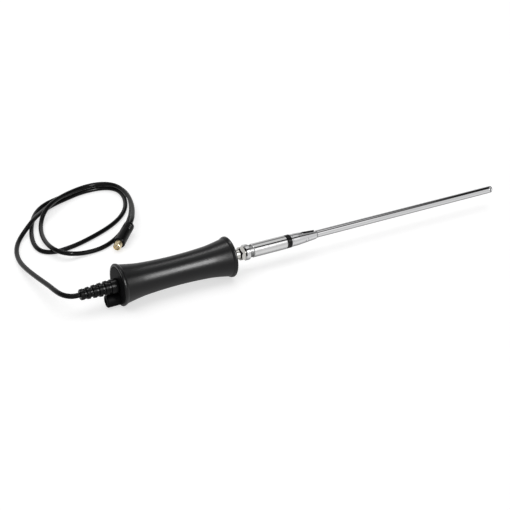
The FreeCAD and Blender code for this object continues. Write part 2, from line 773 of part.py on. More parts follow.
def make_jack_nut():
    """Nut and toothed washer that clamp the jack to the nose cap."""
    wall = FRONT - size["cap_seat_depth"]
    washer_back = wall - size["washer_thickness"]
    nut_back = washer_back - size["nut_thickness"]
    hole = size["jack_radius"] + size["slip"]
    prism = hexagon("nut_prism", nut_back, size["nut_thickness"], size["nut_flats"])
    bore = rod("nut_bore", nut_back - 1.0, washer_back + 1.0, size["jack_radius"] + 0.02)
    keep("jack_nut", cut("jack_nut_bored", prism, [bore]))

    blank = rod("washer_blank", washer_back, wall, size["washer_radius"])
    tools = [rod("washer_hole", washer_back - 1.0, wall + 1.0, hole)]
    teeth = 10
    for tooth in range(teeth):
        angle = 2 * math.pi * tooth / teeth
        tools.append(
            rod(
                "washer_notch_%d" % tooth,
                washer_back - 1.0,
                wall + 1.0,
                0.7,
                size["washer_radius"] * math.cos(angle),
                size["washer_radius"] * math.sin(angle),
            )
        )
    keep("jack_washer", cut("jack_washer_toothed", blank, tools))


# Bayonet coupling and the mast's plug

def make_bayonet_ring():
    """Polished ring with a lip, a dimpled finger groove and two helical cam slots inside."""
    start, end = ahead("ring_start"), ahead("ring_end")
    lip, neck, sleeve = size["ring_lip_radius"], size["ring_neck_radius"], size["ring_sleeve_radius"]
    edge = size["ring_edge"]
    lip_end = start + size["ring_lip_length"]
    neck_end = lip_end + size["ring_neck_length"]
    bore = size["jack_radius"] + size["slip"]
    web_start = web_place()
    web_end = web_start + size["ring_web"]
    outline = [
        (start, bore),
        (start, lip - edge * 2),
        (start + edge * 2, lip),
        (lip_end - edge * 2, lip),
        (lip_end, lip - edge * 2),
        (lip_end, neck),
        (neck_end, neck),
        (neck_end + edge, sleeve),
        (end - edge, sleeve),
        (end, sleeve - edge),
        (end, sleeve - size["ring_sleeve_wall"]),
        (web_end, sleeve - size["ring_sleeve_wall"]),
        (web_end, size["plug_shaft_radius"] + size["slip"]),
        (web_start, size["plug_shaft_radius"] + size["slip"]),
        (web_start, bore),
    ]
    ring = turned("bayonet_ring", outline)
    tools = cam_slots(start, bore)
    count = int(size["dimple_count"].value)
    middle = (lip_end + neck_end) / 2
    for index in range(count):
        dimple = doc.addObject("Part::Cylinder", "dimple_%d" % index)
        bind(dimple, Radius=size["dimple_radius"], Height=2.0)
        angle = 360.0 * (index + 0.5) / count
        tools.append(radial(dimple, middle, angle, neck - size["dimple_depth"]))
    keep("bayonet_ring", cut("bayonet_ring_slotted", ring, tools))


def web_place():
    """x of the ring's inner wall, behind the gasket, the plug's flange and the spring washer."""
    flange = ahead("jack_reach") + size["gasket_thickness"] + size["slip"]
    return flange + size["plug_flange"] + size["spring_thickness"] + size["slip"] * 2


def cam_slots(mouth, bore):
    """Tools for the two cam slots: each climbs a helix, then runs straight out of the mouth."""
    half = size["lug_radius"] + size["cam_clearance"]
    depth = size["lug_reach"] + size["cam_clearance"]
    inner = bore - 0.5
    seat_x = ahead("lug_place")
    foot_x = seat_x - size["cam_rise"]
    turn = size["cam_turn"].value
    tools = []
    for index, angle in enumerate(LUG_ANGLES):
        tools.append(cam_ramp("cam_ramp_%d" % index, foot_x, angle - turn, inner, depth, half))
        for end, x, end_angle in (("seat", seat_x, angle), ("foot", foot_x, angle - turn)):
            pocket = doc.addObject("Part::Cylinder", "cam_%s_%d" % (end, index))
            bind(pocket, Radius=half + 0.02, Height=depth - inner)
            tools.append(radial(pocket, x, end_angle, inner))
        entry = doc.addObject("Part::Box", "cam_entry_%d" % index)
        bind(entry, Length=foot_x - mouth + 1.0, Width=(half + 0.04) * 2, Height=depth - inner)
        tools.append(radial(entry, mouth - 1.0, angle - turn, inner, -half - 0.04))
    return tools


def cam_ramp(name, x, angle, inner, depth, half):
    """The climbing stretch of a cam slot, swept along a helix about the probe's axis."""
    turn, rise = size["cam_turn"].value, size["cam_rise"].value
    inner, depth, half = inner.value, depth.value, half.value
    helix = Part.makeHelix(rise * 360.0 / turn, rise, depth)
    section = Part.makePolygon([
        Vector(inner, 0, -half),
        Vector(depth, 0, -half),
        Vector(depth, 0, half),
        Vector(inner, 0, half),
        Vector(inner, 0, -half),
    ])
    ramp = doc.addObject("Part::Feature", name)
    ramp.Shape = Part.Wire(helix.Edges).makePipeShell([Part.Wire(section.Edges)], True, True)
    return place(ramp, x, 0.0, 0.0, HELIX_ONTO_AXIS.multiply(Rotation(Vector(0, 0, 1), angle)))


def make_plug():
    """Inside of the mast's plug: contact sleeve, barrel, insulator, conductor, gasket and spring."""
    shaft, core = size["plug_shaft_radius"], size["plug_core_radius"] + size["slip"]
    sleeve, sleeve_wall = size["plug_sleeve_radius"], size["plug_sleeve_wall"]
    gasket_x = ahead("jack_reach") + size["running"]
    flange_x = ahead("jack_reach") + size["gasket_thickness"] + size["slip"]
    flange_end = flange_x + size["plug_flange"]
    sleeve_front = jack_floor() + size["plug_sleeve_gap"]
    shell_end = ahead("insulator_start") - 0.3
    flange_radius = size["jack_radius"] + size["running"]
    outline = [
        (sleeve_front, sleeve - sleeve_wall),
        (sleeve_front, sleeve - 0.25),
        (sleeve_front + 0.6, sleeve),
        (flange_x, sleeve),
        (flange_x, flange_radius),
        (flange_end, flange_radius),
        (flange_end, shaft),
        (shell_end, shaft),
        (shell_end, core),
        (flange_x, core),
        (flange_x, sleeve - sleeve_wall),
    ]
    keep("plug_shell", turned("plug_shell", outline))

    outline = [
        (gasket_x, sleeve + size["running"]),
        (gasket_x, size["jack_radius"] - 0.05),
        (flange_x, size["jack_radius"] - 0.05),
        (flange_x, sleeve + size["running"]),
    ]
    keep("plug_gasket", turned("plug_gasket", outline))

    spring_x = flange_end
    spring_end = spring_x + size["spring_thickness"]
    sheet_metal = size["spring_thickness"] * 0.45
    outline = [
        (spring_x, flange_radius - 0.1),
        (spring_x + sheet_metal, flange_radius - 0.1),
        (spring_end, shaft + size["slip"]),
        (spring_end - sheet_metal, shaft + size["slip"]),
    ]
    keep("spring_washer", turned("spring_washer", outline))

    barrel_x = shell_end - size["gland_length"]
    barrel_radius = size["ring_sleeve_radius"] - size["ring_sleeve_wall"] - size["slip"]
    outline = [
        (barrel_x, shaft + 0.02),
        (barrel_x, barrel_radius),
        (shell_end, barrel_radius),
        (shell_end, shaft + 0.02),
    ]
    keep("plug_barrel", turned("plug_barrel", outline))

    rod_radius = size["plug_rod_radius"]
    core_start = flange_x + 0.3
    outline = [
        (core_start, rod_radius + 0.02),
        (core_start, size["plug_core_radius"]),
        (shell_end, size["plug_core_radius"]),
        (shell_end, rod_radius + 0.02),
    ]
    keep("plug_insulator", turned("plug_insulator", outline))

    pin_front = ahead("wrench_start") + 4.0
    pin_radius = size["contact_pin_radius"]
    collar_x = ahead("insulator_start") + size["insulator_length"]
    outline = [
        (pin_front, ZERO),
        (pin_front + 0.5, pin_radius),
        (core_start - 2.5, pin_radius),
        (core_start - 2.0, rod_radius),
        (collar_x + 4.0, rod_radius),
        (collar_x + 4.0, ZERO),
    ]
    keep("plug_pin", turned("plug_pin", outline))


def make_insulator_ring():
    """Black ring that keeps the mast apart from the plug's shell."""
    start = ahead("insulator_start")
    end = start + size["insulator_length"]
    radius = size["insulator_radius"]
    outline = [
        (start, size["plug_rod_radius"] + 0.02),
        (start, radius - 0.3),
        (start + 0.3, radius),
        (end - 0.3, radius),
        (end, radius - 0.3),
        (end, size["plug_rod_radius"] + 0.02),
    ]
    keep("insulator_ring", turned("insulator_ring", outline))


def make_swivel_post():
    """Collar and post that the elbow turns on."""
    start = ahead("insulator_start") + size["insulator_length"]
    collar_end = start + size["collar_length"]
    radius = size["collar_radius"]
    socket = size["plug_rod_radius"] + 0.02
    outline = [
        (start, socket),
        (start, radius - 0.3),
        (start + 0.3, radius),
        (collar_end - 0.3, radius),
        (collar_end, radius - 0.3),
        (collar_end, size["post_radius"]),
        (collar_end + size["post_length"], size["post_radius"]),
        (collar_end + size["post_length"], ZERO),
        (start + 4.0, ZERO),
        (start + 4.0, socket),
    ]
    keep("swivel_post", turned("swivel_post", outline))


# Elbow and mast

def make_elbow():
    """Tapered fork that turns on the post, and the rivet through it."""
    start = ahead("insulator_start") + size["insulator_length"] + size["collar_length"] + size["slip"]
    end = ahead("fork_end")
    bore = size["post_radius"] + size["running"]
    bore_end = start + size["post_length"] + 0.2
    outline = [
        (start, bore),
        (start, size["fork_radius"] - 0.3),
        (start + 0.3, size["fork_radius"]),
        (start + size["fork_straight"], size["fork_radius"]),
        (end - 0.4, size["fork_end_radius"]),
        (end, size["fork_end_radius"] - 0.4),
        (end, ZERO),
        (bore_end, ZERO),
        (bore_end, bore),
    ]
    blank = turned("elbow_fork", outline)
    pivot = ahead("pivot_place")
    slot_start = pivot - size["tongue_radius"] - 0.5
    slot = block(
        "fork_slot",
        slot_start,
        end - slot_start + 1.0,
        size["tongue_thickness"] + size["slip"] * 2,
        -size["tongue_radius"] - 0.3,
        size["tongue_radius"] + 0.3 + size["fork_radius"] + 1.0,
    )
    width = size["fork_radius"] * 2 + 4.0
    hole = cross_rod("fork_hole", pivot, size["pivot_radius"] + size["running"], width)
    taper = (size["fork_radius"] - size["fork_end_radius"]) / (end - start - size["fork_straight"])
    reach = size["fork_radius"] - (pivot - start - size["fork_straight"]) * taper - size["rivet_sink"]
    seats = []
    heads = []
    for index, angle in enumerate((0.0, 180.0)):
        seat = doc.addObject("Part::Cylinder", "rivet_seat_%d" % index)
        bind(seat, Radius=size["rivet_head_radius"] + size["slip"], Height=2.0)
        seats.append(radial(seat, pivot, angle, reach))
        head = doc.addObject("Part::Cone", "rivet_head_%d" % index)
        bind(
            head,
            Radius1=size["rivet_head_radius"],
            Radius2=size["rivet_head_radius"] * 0.6,
            Height=size["rivet_head"] + 0.05,
        )
        heads.append(radial(head, pivot, angle, reach + 0.02))
    keep("elbow_fork", cut("elbow_fork_slotted", blank, [slot, hole] + seats))
    shank = cross_rod("rivet_shank", pivot, size["pivot_radius"], reach * 2 + size["rivet_head"])
    keep("elbow_rivet", fuse("elbow_rivet_solid", [shank] + heads))


def cross_rod(name, x, radius, width):
    """A round bar along Y through the probe's axis."""
    bar = doc.addObject("Part::Cylinder", name)
    bind(bar, Radius=radius, Height=width)
    return place(bar, x, -Size.of(width) / 2, 0.0, ALONG_Y)


def shoulder_place():
    """x of the mast's shoulder, just clear of the fork's end while the mast folds."""
    arm = ahead("fork_end") - ahead("pivot_place")
    return ahead("pivot_place") + hypot(arm, size["fork_end_radius"]) + 0.25


def make_mast_foot():
    """Flat tongue in the fork, a round shoulder and a plug in the outer tube."""
    pivot = ahead("pivot_place")
    shoulder = shoulder_place()
    thick, half, neck = size["tongue_thickness"], size["tongue_radius"], size["tongue_neck"]
    round_end = cross_rod("tongue_round", pivot, half, thick)
    flat = block("tongue_flat", pivot, shoulder - pivot + 0.5, thick, -neck, neck * 2)
    radius = size["mast_radius"]
    inside = radius - size["mast_wall"]
    outline = [
        (shoulder, ZERO),
        (shoulder, radius - 0.3),
        (shoulder + 0.3, radius),
        (shoulder + 1.5, radius),
        (shoulder + 1.5, inside),
        (shoulder + 1.5 + size["mast_foot_plug"], inside),
        (shoulder + 1.5 + size["mast_foot_plug"], ZERO),
    ]
    solid = fuse("mast_foot_solid", [round_end, flat, turned("mast_foot", outline)])
    hole = cross_rod("tongue_hole", pivot, size["pivot_radius"] + size["running"], thick + 2.0)
    keep("mast_foot", cut("mast_foot_drilled", solid, [hole]))


def section_radius(number):
    """Outside radius of a mast tube, the outer one being number 1."""
    return size["mast_radius"] - size["mast_step"] * (number - 1)


TUBES = 4


def make_mast():
    """Outer tube, three inner tubes with their spring sleeves, and the thin last tube with its tip."""
    wall, mouth = size["mast_wall"], size["mouth_length"]
    for number in range(1, TUBES + 1):
        outer = section_radius(number)
        start = shoulder_place() + 1.5 if number == 1 else section_start(number)
        end = ahead("mast_end") + size["section_proud"] * (number - 1)
        inner_mouth = section_radius(number + 1) + size["running"]
        outline = [
            (start, outer - wall),
            (start, outer),
            (end - 0.4, outer),
            (end, outer - 0.2),
            (end, inner_mouth),
            (end - mouth, inner_mouth),
            (end - mouth - 0.5, outer - wall),
        ]
        keep("mast_tube_%d" % number, turned("mast_tube_%d" % number, outline))
    for number in range(2, TUBES + 2):
        outer = section_radius(number)
        reach = section_radius(number - 1) - wall - size["running"]
        start = section_start(number)
        outline = [
            (start, outer + 0.01),
            (start, reach - 0.1),
            (start + 0.5, reach),
            (start + size["guide_length"] - 0.5, reach),
            (start + size["guide_length"], reach - 0.1),
            (start + size["guide_length"], outer + 0.01),
        ]
        keep("spring_sleeve_%d" % number, turned("spring_sleeve_%d" % number, outline))
    last = TUBES + 1
    radius = section_radius(last)
    tip = ahead("tip_end")
    button = ahead("mast_end") + size["section_proud"] * TUBES
    outline = [
        (section_start(last), radius - size["rod_wall"]),
        (section_start(last), radius),
        (button, radius),
        (button, radius - size["rod_wall"]),
    ]
    keep("mast_rod", turned("mast_rod", outline))
    edge = size["tip_edge"]
    bend = edge * (1 - math.cos(math.pi / 4))
    outline = [
        (button, ZERO),
        (button, size["tip_radius"] - 0.2),
        (button + 0.2, size["tip_radius"]),
        (tip - edge, size["tip_radius"]),
        (tip - bend, size["tip_radius"] - bend, "via"),
        (tip, size["tip_radius"] - edge),
        (tip, ZERO),
    ]
    keep("tip_button", turned("tip_button", outline))


def section_start(number):
    """x of an inner section's foot."""
    return ahead("section_start") + size["section_stagger"] * (number - 2)


# Cord and its plug

def rounded_path(points):
    """Straight runs joined by tangent arcs, each as large as its two runs allow."""
    edges = []
    radii = []
    here = points[0]
    for before, corner, after in zip(points, points[1:], points[2:]):
        back = (before - corner)
        on = (after - corner)
        run = min(back.Length, on.Length)
        back.normalize()
        on.normalize()
        turn = math.pi - back.getAngle(on)
        setback = 0.45 * run
        radii.append(setback / math.tan(turn / 2))
        arc_start = corner + back * setback
        arc_end = corner + on * setback
        inward = (back + on).normalize()
        centre_reach = math.hypot(setback, radii[-1])
        middle = corner + inward * (centre_reach - radii[-1])
        edges.append(Part.LineSegment(here, arc_start).toShape())
        edges.append(Part.Arc(arc_start, middle, arc_end).toShape())
        here = arc_end
    edges.append(Part.LineSegment(here, points[-1]).toShape())
    wire = Part.Wire(edges)
    wire_radii[len(wire_radii)] = radii
    return wire


wire_radii = {}

# Route of the cord: out of the bend relief, down to the surface, twice round in loose loops and
# into its plug. Points in the finished part's own frame.
CORD_ROUTE = [
    (-228.0, 0.0, 19.25),
    (-233.5, 0.0, 19.25),
    (-239.0, 4.6, 19.1),
    (-242.0, 11.5, 18.6),
    (-243.4, 20.5, 17.7),
    (-244.0, 33.5, 15.8),
    (-245.5, 50.0, 13.2),
    (-247.0, 69.5, 10.0),
    (-248.0, 89.5, 6.8),
    (-248.0, 109.0, 4.0),
    (-246.0, 126.5, 2.3),
    (-242.5, 140.5, 2.3),
    (-237.0, 153.5, 2.3),
    (-230.5, 163.5, 3.2),
    (-223.5, 170.5, 5.6),
    (-216.0, 178.0, 7.9),
    (-206.5, 190.5, 7.5),
    (-194.5, 206.5, 4.2),
    (-182.5, 218.5, 2.3),
    (-170.5, 225.0, 2.3),
    (-158.0, 230.0, 2.3),
    (-144.5, 235.5, 2.3),
    (-131.5, 237.5, 2.3),
    (-119.0, 237.0, 2.3),
    (-109.0, 232.5, 2.3),
    (-103.5, 222.0, 2.3),
    (-104.0, 205.5, 2.3),
    (-109.0, 188.0, 2.3),
    (-117.0, 171.5, 2.3),
    (-128.5, 157.0, 2.3),
    (-142.5, 145.0, 2.3),
    (-158.0, 135.5, 2.3),
    (-174.0, 127.5, 2.3),
    (-188.5, 121.5, 2.3),
    (-201.0, 118.5, 2.3),
    (-210.5, 117.5, 2.3),
    (-218.0, 120.5, 2.3),
    (-223.0, 127.0, 2.3),
    (-224.5, 138.5, 2.3),
    (-222.5, 154.0, 2.3),
    (-217.5, 172.5, 2.3),
    (-211.0, 190.0, 2.3),
    (-203.5, 206.0, 2.3),
    (-194.5, 218.0, 2.3),
    (-185.0, 226.5, 2.3),
    (-172.5, 232.5, 2.3),
    (-157.5, 238.0, 2.3),
    (-142.5, 242.5, 2.3),
    (-129.0, 243.5, 2.3),
    (-116.5, 243.0, 2.3),
    (-105.0, 238.5, 2.3),
    (-98.5, 226.5, 2.3),
    (-98.5, 206.5, 2.3),
    (-104.0, 185.0, 2.3),
    (-112.5, 164.5, 2.3),
    (-122.5, 147.0, 2.3),
    (-133.0, 132.5, 2.3),
    (-145.0, 119.5, 2.3),
    (-157.5, 109.0, 2.3),
    (-170.0, 103.0, 2.3),
    (-181.0, 101.5, 2.3),
    (-192.5, 100.5, 3.6),
    (-203.0, 99.5, 6.7),
    (-210.5, 104.5, 8.2),
    (-214.5, 116.5, 7.9),
    (-214.5, 134.5, 5.6),
    (-212.0, 154.5, 3.6),
    (-207.5, 173.0, 2.6),
    (-202.0, 187.0, 3.6),
    (-196.5, 195.5, 7.0),
    (-189.0, 204.0, 9.2),
    (-178.5, 214.5, 9.4),
    (-165.5, 225.0, 8.4),
    (-151.0, 233.0, 7.8),
    (-136.5, 238.0, 7.5),
    (-124.0, 238.5, 7.5),
    (-113.0, 235.0, 7.5),
    (-105.0, 225.5, 7.5),
    (-102.5, 209.5, 7.5),
    (-104.0, 189.0, 7.5),
    (-109.5, 168.0, 7.9),
    (-116.0, 150.5, 8.8),
    (-125.93, 129.34, 10.69),
    (-131.1, 123.3, 9.8),
]
PLUG_NOSE = (-153.1, 97.6, 6.0)


def make_cord():
    """Free stretch of the cord, as one tube along its route."""
    points = [Vector(*point) for point in CORD_ROUTE]
    wire = rounded_path(points)
    radius = size["cord_radius"].value
    ring = Part.Wire(Part.makeCircle(radius, points[0], points[1] - points[0]))
    cord = doc.addObject("Part::Feature", "cord_tube")
    cord.Shape = wire.makePipeShell([ring], True, False)
    keep("cord", cord)
    report_cord(wire, cord.Shape, radius)


def report_cord(wire, shape, radius):
    """Print the cord's length, its arcs' radii, its volume and its least gap to itself."""
    radii = wire_radii[len(wire_radii) - 1]
    print("cord length %.1f mm" % wire.Length)
    print("cord arc radii mm:", " ".join("%.0f" % value for value in radii))
    expected = math.pi * radius * radius * wire.Length
    print("cord volume %.0f mm3, section times length %.0f mm3" % (shape.Volume, expected))
    spots = wire.discretize(Distance=1.5)
    travelled = [0.0]
    for before, after in zip(spots, spots[1:]):
        travelled.append(travelled[-1] + before.distanceToPoint(after))
    least = (1e9, 0, 0)
    for first in range(0, len(spots)):
        for second in range(first + 1, len(spots)):
            if travelled[second] - travelled[first] < 30.0:
                continue
            gap = spots[first].distanceToPoint(spots[second]) - 2 * radius
            if gap < least[0]:
                least = (gap, first, second)
    print("cord least gap to itself %.2f mm, at" % least[0], spots[least[1]], spots[least[2]])


def seated(item, start, nose):
    """Turn a piece made along X so that it runs from start towards nose."""
    direction = Vector(*nose) - Vector(*start)
    item.Placement = Placement(Vector(*start), Rotation(Vector(1, 0, 0), direction))
    return item


def make_cord_plug():
    """Moulded plug on the cord with a gold sleeve, an insulator and a centre pin."""
    start = CORD_ROUTE[-1]
    length = Size.of((Vector(*PLUG_NOSE) - Vector(*start)).Length)
    front, rear = size["cord_plug_front_radius"], size["cord_plug_rear_radius"]
    outline = [
        (ZERO, ZERO),
        (ZERO, rear - 1.9),
        (Size.of(0.6), rear - 0.8),
        (Size.of(1.9), rear),
    ]
    rings = int(size["cord_plug_rings"].value)
    grip_start = length * 0.16
    pitch = length * 0.085
    slope = (front - rear) / length
    for ring in range(rings):
        x = grip_start + pitch * ring
        crest = rear + slope * x
        outline += [
            (x, crest),
            (x + pitch * 0.15, crest - 0.35),
            (x + pitch * 0.4, crest - 0.35),
            (x + pitch * 0.55, crest),
        ]
    outline += [
        (length - 1.2, front),
        (length, front - 1.2),
        (length, ZERO),
    ]
    body = turned("cord_plug_body", outline, on_axis=False)
    keep("cord_plug_body", seated(body, start, PLUG_NOSE))

    gold, wall = size["gold_radius"], size["gold_wall"]
    tip = length + size["gold_length"]
    outline = [
        (length, ZERO),
        (length, gold),
        (tip - 0.5, gold),
        (tip, gold - 0.4),
        (tip, gold - wall),
        (length + 1.0, gold - wall),
        (length + 1.0, ZERO),
    ]
    sleeve = turned("gold_sleeve", outline, on_axis=False)
    keep("gold_sleeve", seated(sleeve, start, PLUG_NOSE))

    outline = [
        (length + 1.0, size["gold_pin_radius"] + 0.02),
        (length + 1.0, gold - wall - size["slip"]),
        (tip - 1.6, gold - wall - size["slip"]),
        (tip - 1.6, size["gold_pin_radius"] + 0.02),
    ]
    core = turned("gold_insulator", outline, on_axis=False)
    keep("gold_insulator", seated(core, start, PLUG_NOSE))

    pin = size["gold_pin_radius"]
    outline = [
        (length + 1.0, ZERO),
        (length + 1.0, pin),
        (tip - 1.4, pin),
        (tip - 0.8, pin * 0.5),
        (tip - 0.8, ZERO),
    ]
    centre = turned("gold_pin", outline, on_axis=False)
    keep("gold_pin", seated(centre, start, PLUG_NOSE))


def check_document():
    """Stop if any object failed or any sub-part is empty or broken."""
    faults = []
    for item in doc.Objects:
        if "Invalid" in item.State or "Error" in item.State:
            faults.append("%s is %s" % (item.Name, item.State))
    for label, item in nodes.items():
        if item.Shape.isNull() or not item.Shape.isValid() or not item.Shape.Solids:
            faults.append("%s has no sound shape" % label)
    if faults:
        raise RuntimeError("; ".join(faults))


def export():
    """Write every sub-part to its own file."""
    os.makedirs("parts", exist_ok=True)
    for label, item in nodes.items():
        item.Shape.exportStep(os.path.join("parts", label + ".step"))
        box = item.Shape.BoundBox
        print("%-18s solids %d  volume %8.1f  x %7.1f..%7.1f  z %6.2f..%6.2f" % (
            label, len(item.Shape.Solids), item.Shape.Volume, box.XMin, box.XMax, box.ZMin, box.ZMax))


make_grip()
make_core_tube()
make_rear_cap()
make_trimmer()
make_nose_cap()
make_boot()
make_cord_tail()
make_board()
make_inner_leads()
make_jack()
make_jack_inside()
make_jack_nut()
make_bayonet_ring()
make_plug()
make_insulator_ring()
make_swivel_post()
make_elbow()
make_mast_foot()
make_mast()
make_cord()
make_cord_plug()
doc.recompute()
check_document()
export()
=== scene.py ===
"""Looks of a whip probe: a waisted black grip, a chrome telescopic mast and a looped coaxial cord.

Everything is in metres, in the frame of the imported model: +X runs along the probe towards the
mast's tip, +Z is up and the probe lies on z = 0.
"""

from __future__ import annotations

import logging
import math
from dataclasses import dataclass, field
from enum import Enum

import bpy
from mathutils import Euler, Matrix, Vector

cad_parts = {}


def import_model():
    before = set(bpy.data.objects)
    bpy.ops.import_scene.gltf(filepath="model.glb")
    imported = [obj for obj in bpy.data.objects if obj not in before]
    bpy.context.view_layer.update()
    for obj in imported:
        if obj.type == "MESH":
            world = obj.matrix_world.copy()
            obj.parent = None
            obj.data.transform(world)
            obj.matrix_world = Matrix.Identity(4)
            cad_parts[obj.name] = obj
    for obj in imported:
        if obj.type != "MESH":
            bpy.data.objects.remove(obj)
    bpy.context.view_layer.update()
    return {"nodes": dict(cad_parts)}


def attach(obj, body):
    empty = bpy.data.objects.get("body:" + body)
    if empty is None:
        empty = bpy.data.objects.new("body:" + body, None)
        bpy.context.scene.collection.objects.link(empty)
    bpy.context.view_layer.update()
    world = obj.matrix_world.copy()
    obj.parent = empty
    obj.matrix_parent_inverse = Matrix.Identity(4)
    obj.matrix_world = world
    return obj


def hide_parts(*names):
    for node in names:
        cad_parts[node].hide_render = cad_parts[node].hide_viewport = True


logging.basicConfig(level=logging.INFO, format="%(message)s")
log = logging.getLogger("whip_probe")

MM = 0.001
Triple = tuple[float, float, float]
Stops = tuple[tuple[float, float], ...]


def grey(tone: float) -> tuple[float, float, float, float]:
    """An opaque grey of this tone."""
    return (tone, tone, tone, 1.0)


def even(value: float) -> Triple:
    """The same value along each axis."""
    return (value, value, value)


WHITE = grey(1.0)


# Shader wiring

NOISE_DETAIL = 3.0
NOISE_MEAN = 0.5
# Sockets of a Mix node that mixes colours
MIX_INPUTS = {"Factor": 0, "A": 6, "B": 7}
MIX_RESULT = 2


class Wire:
    """A shader socket that takes part in Python sums and products."""

    def __init__(self, board: "NodeBoard", socket: bpy.types.NodeSocket) -> None:
        """Remember the socket and the board that it is on."""
        self.board = board
        self.socket = socket

    def _math(self, operation: str, first: object, second: object) -> "Wire":
        """One Math node on two values."""
        return self.board.node("Math", {"operation": operation}, {0: first, 1: second})

    def __add__(self, other: object) -> "Wire":
        """Sum of two values."""
        return self._math("ADD", self, other)

    def __radd__(self, other: object) -> "Wire":
        """Sum with a plain number in front."""
        return self._math("ADD", other, self)

    def __sub__(self, other: object) -> "Wire":
        """Difference of two values."""
        return self._math("SUBTRACT", self, other)

    def __rsub__(self, other: object) -> "Wire":
        """Difference with a plain number in front."""
        return self._math("SUBTRACT", other, self)

    def __mul__(self, other: object) -> "Wire":
        """Product of two values."""
        return self._math("MULTIPLY", self, other)

    def __rmul__(self, other: object) -> "Wire":
        """Product with a plain number in front."""
        return self._math("MULTIPLY", other, self)

    def __truediv__(self, other: object) -> "Wire":
        """Quotient of two values."""
        return self._math("DIVIDE", self, other)

    def __rtruediv__(self, other: object) -> "Wire":
        """Quotient with a plain number in front."""
        return self._math("DIVIDE", other, self)

    def above(self, limit: float) -> "Wire":
        """1 where the value is above the limit, else 0."""
        return self._math("GREATER_THAN", self, limit)

    def size(self) -> "Wire":
        """The value without its sign."""
        return self.board.node("Math", {"operation": "ABSOLUTE"}, {0: self})


class NodeBoard:
    """The node tree of one material or world."""

    def __init__(self, tree: bpy.types.NodeTree) -> None:
        """Empty the tree and keep it."""
        self.tree = tree
        tree.nodes.clear()

    def node(self, kind: str, settings: dict | None = None, inputs: dict | None = None,
             output: int | str = 0) -> Wire:
        """Add a node.

        Args:
            kind: the node's type without its ShaderNode prefix.
            settings: its own options, set first. "stops" fills a ramp with (place, tone) pairs.
            inputs: values or wires for its sockets, by name or number.
            output: which of its outputs is returned.

        Returns:
            The output as a wire.
        """
        made = self.tree.nodes.new("ShaderNode" + kind)
        for name, value in (settings or {}).items():
            if name == "stops":
                self._fill_ramp(made.color_ramp, value)
            else:
                setattr(made, name, value)
        for name, value in (inputs or {}).items():
            if isinstance(value, Wire):
                self.tree.links.new(value.socket, made.inputs[name])
            else:
                made.inputs[name].default_value = value
        if not made.outputs:
            return Wire(self, made.inputs[0])
        return Wire(self, made.outputs[output])

    def axis(self, place: Wire, name: str) -> Wire:
        """One coordinate of a place."""
        return self.node("SeparateXYZ", {}, {0: place}, name)

    @staticmethod
    def _fill_ramp(ramp: bpy.types.ColorRamp, stops: Stops) -> None:
        """Give a ramp its grey stops.

        Args:
            ramp: the ramp of a fresh node.
            stops: the place and the tone of each stop.
        """
        while len(ramp.elements) > 1:
            ramp.elements.remove(ramp.elements[-1])
        first_place, first_tone = stops[0]
        ramp.elements[0].position = first_place
        ramp.elements[0].color = grey(first_tone)
        for place, tone in stops[1:]:
            ramp.elements.new(place).color = grey(tone)

    def noise(self, place: Wire, scale: float) -> Wire:
        """Soft noise with this many features a metre."""
        return self.node("TexNoise", {}, {"Vector": place, "Scale": scale, "Detail": NOISE_DETAIL})

    def blend(self, amount: object, low: object, high: object) -> Wire:
        """A colour between two others.

        Args:
            amount: 0 gives the low colour and 1 the high one.
            low: a triple or a wire.
            high: a triple or a wire.

        Returns:
            The mixed colour.
        """
        inputs = {"Factor": amount}
        for name, value in (("A", low), ("B", high)):
            inputs[name] = value if isinstance(value, Wire) else (*value, 1.0)
        mix = self.tree.nodes.new("ShaderNodeMix")
        mix.data_type = "RGBA"
        for name, value in inputs.items():
            socket = mix.inputs[MIX_INPUTS[name]]
            if isinstance(value, Wire):
                self.tree.links.new(value.socket, socket)
            else:
                socket.default_value = value
        return Wire(self, mix.outputs[MIX_RESULT])

    def stretched(self, scale: Triple) -> Wire:
        """Object coordinates, stretched along each axis."""
        place = self.node("TexCoord", {}, {}, "Object")
        return self.node("Mapping", {}, {"Vector": place, "Scale": scale})


# Finishes

# Roughness change of the wide patches, as a share of the fine grain's
PATCH_SHARE = 0.8
HOLLOW_ROUGHNESS = 0.3
BUMP_STRENGTH = 0.6


@dataclass(frozen=True)
class HollowShade:
    """Painted shade in a hollow: its reach along X, its half width along Y and the colour left in
    it.
    """

    low: float
    high: float
    half_width: float
    colour_left: float

    def inside(self, board: NodeBoard, place: Wire) -> Wire:
        """Find the hollow.

        Args:
            board: the material's nodes.
            place: Object coordinates.

        Returns:
            1 inside the hollow, 0 outside it.
        """
        along = board.axis(place, "X")
        across = board.axis(place, "Y").size()
        reach = along.above(self.low) * (1.0 - along.above(self.high))
        return reach * (1.0 - across.above(self.half_width))


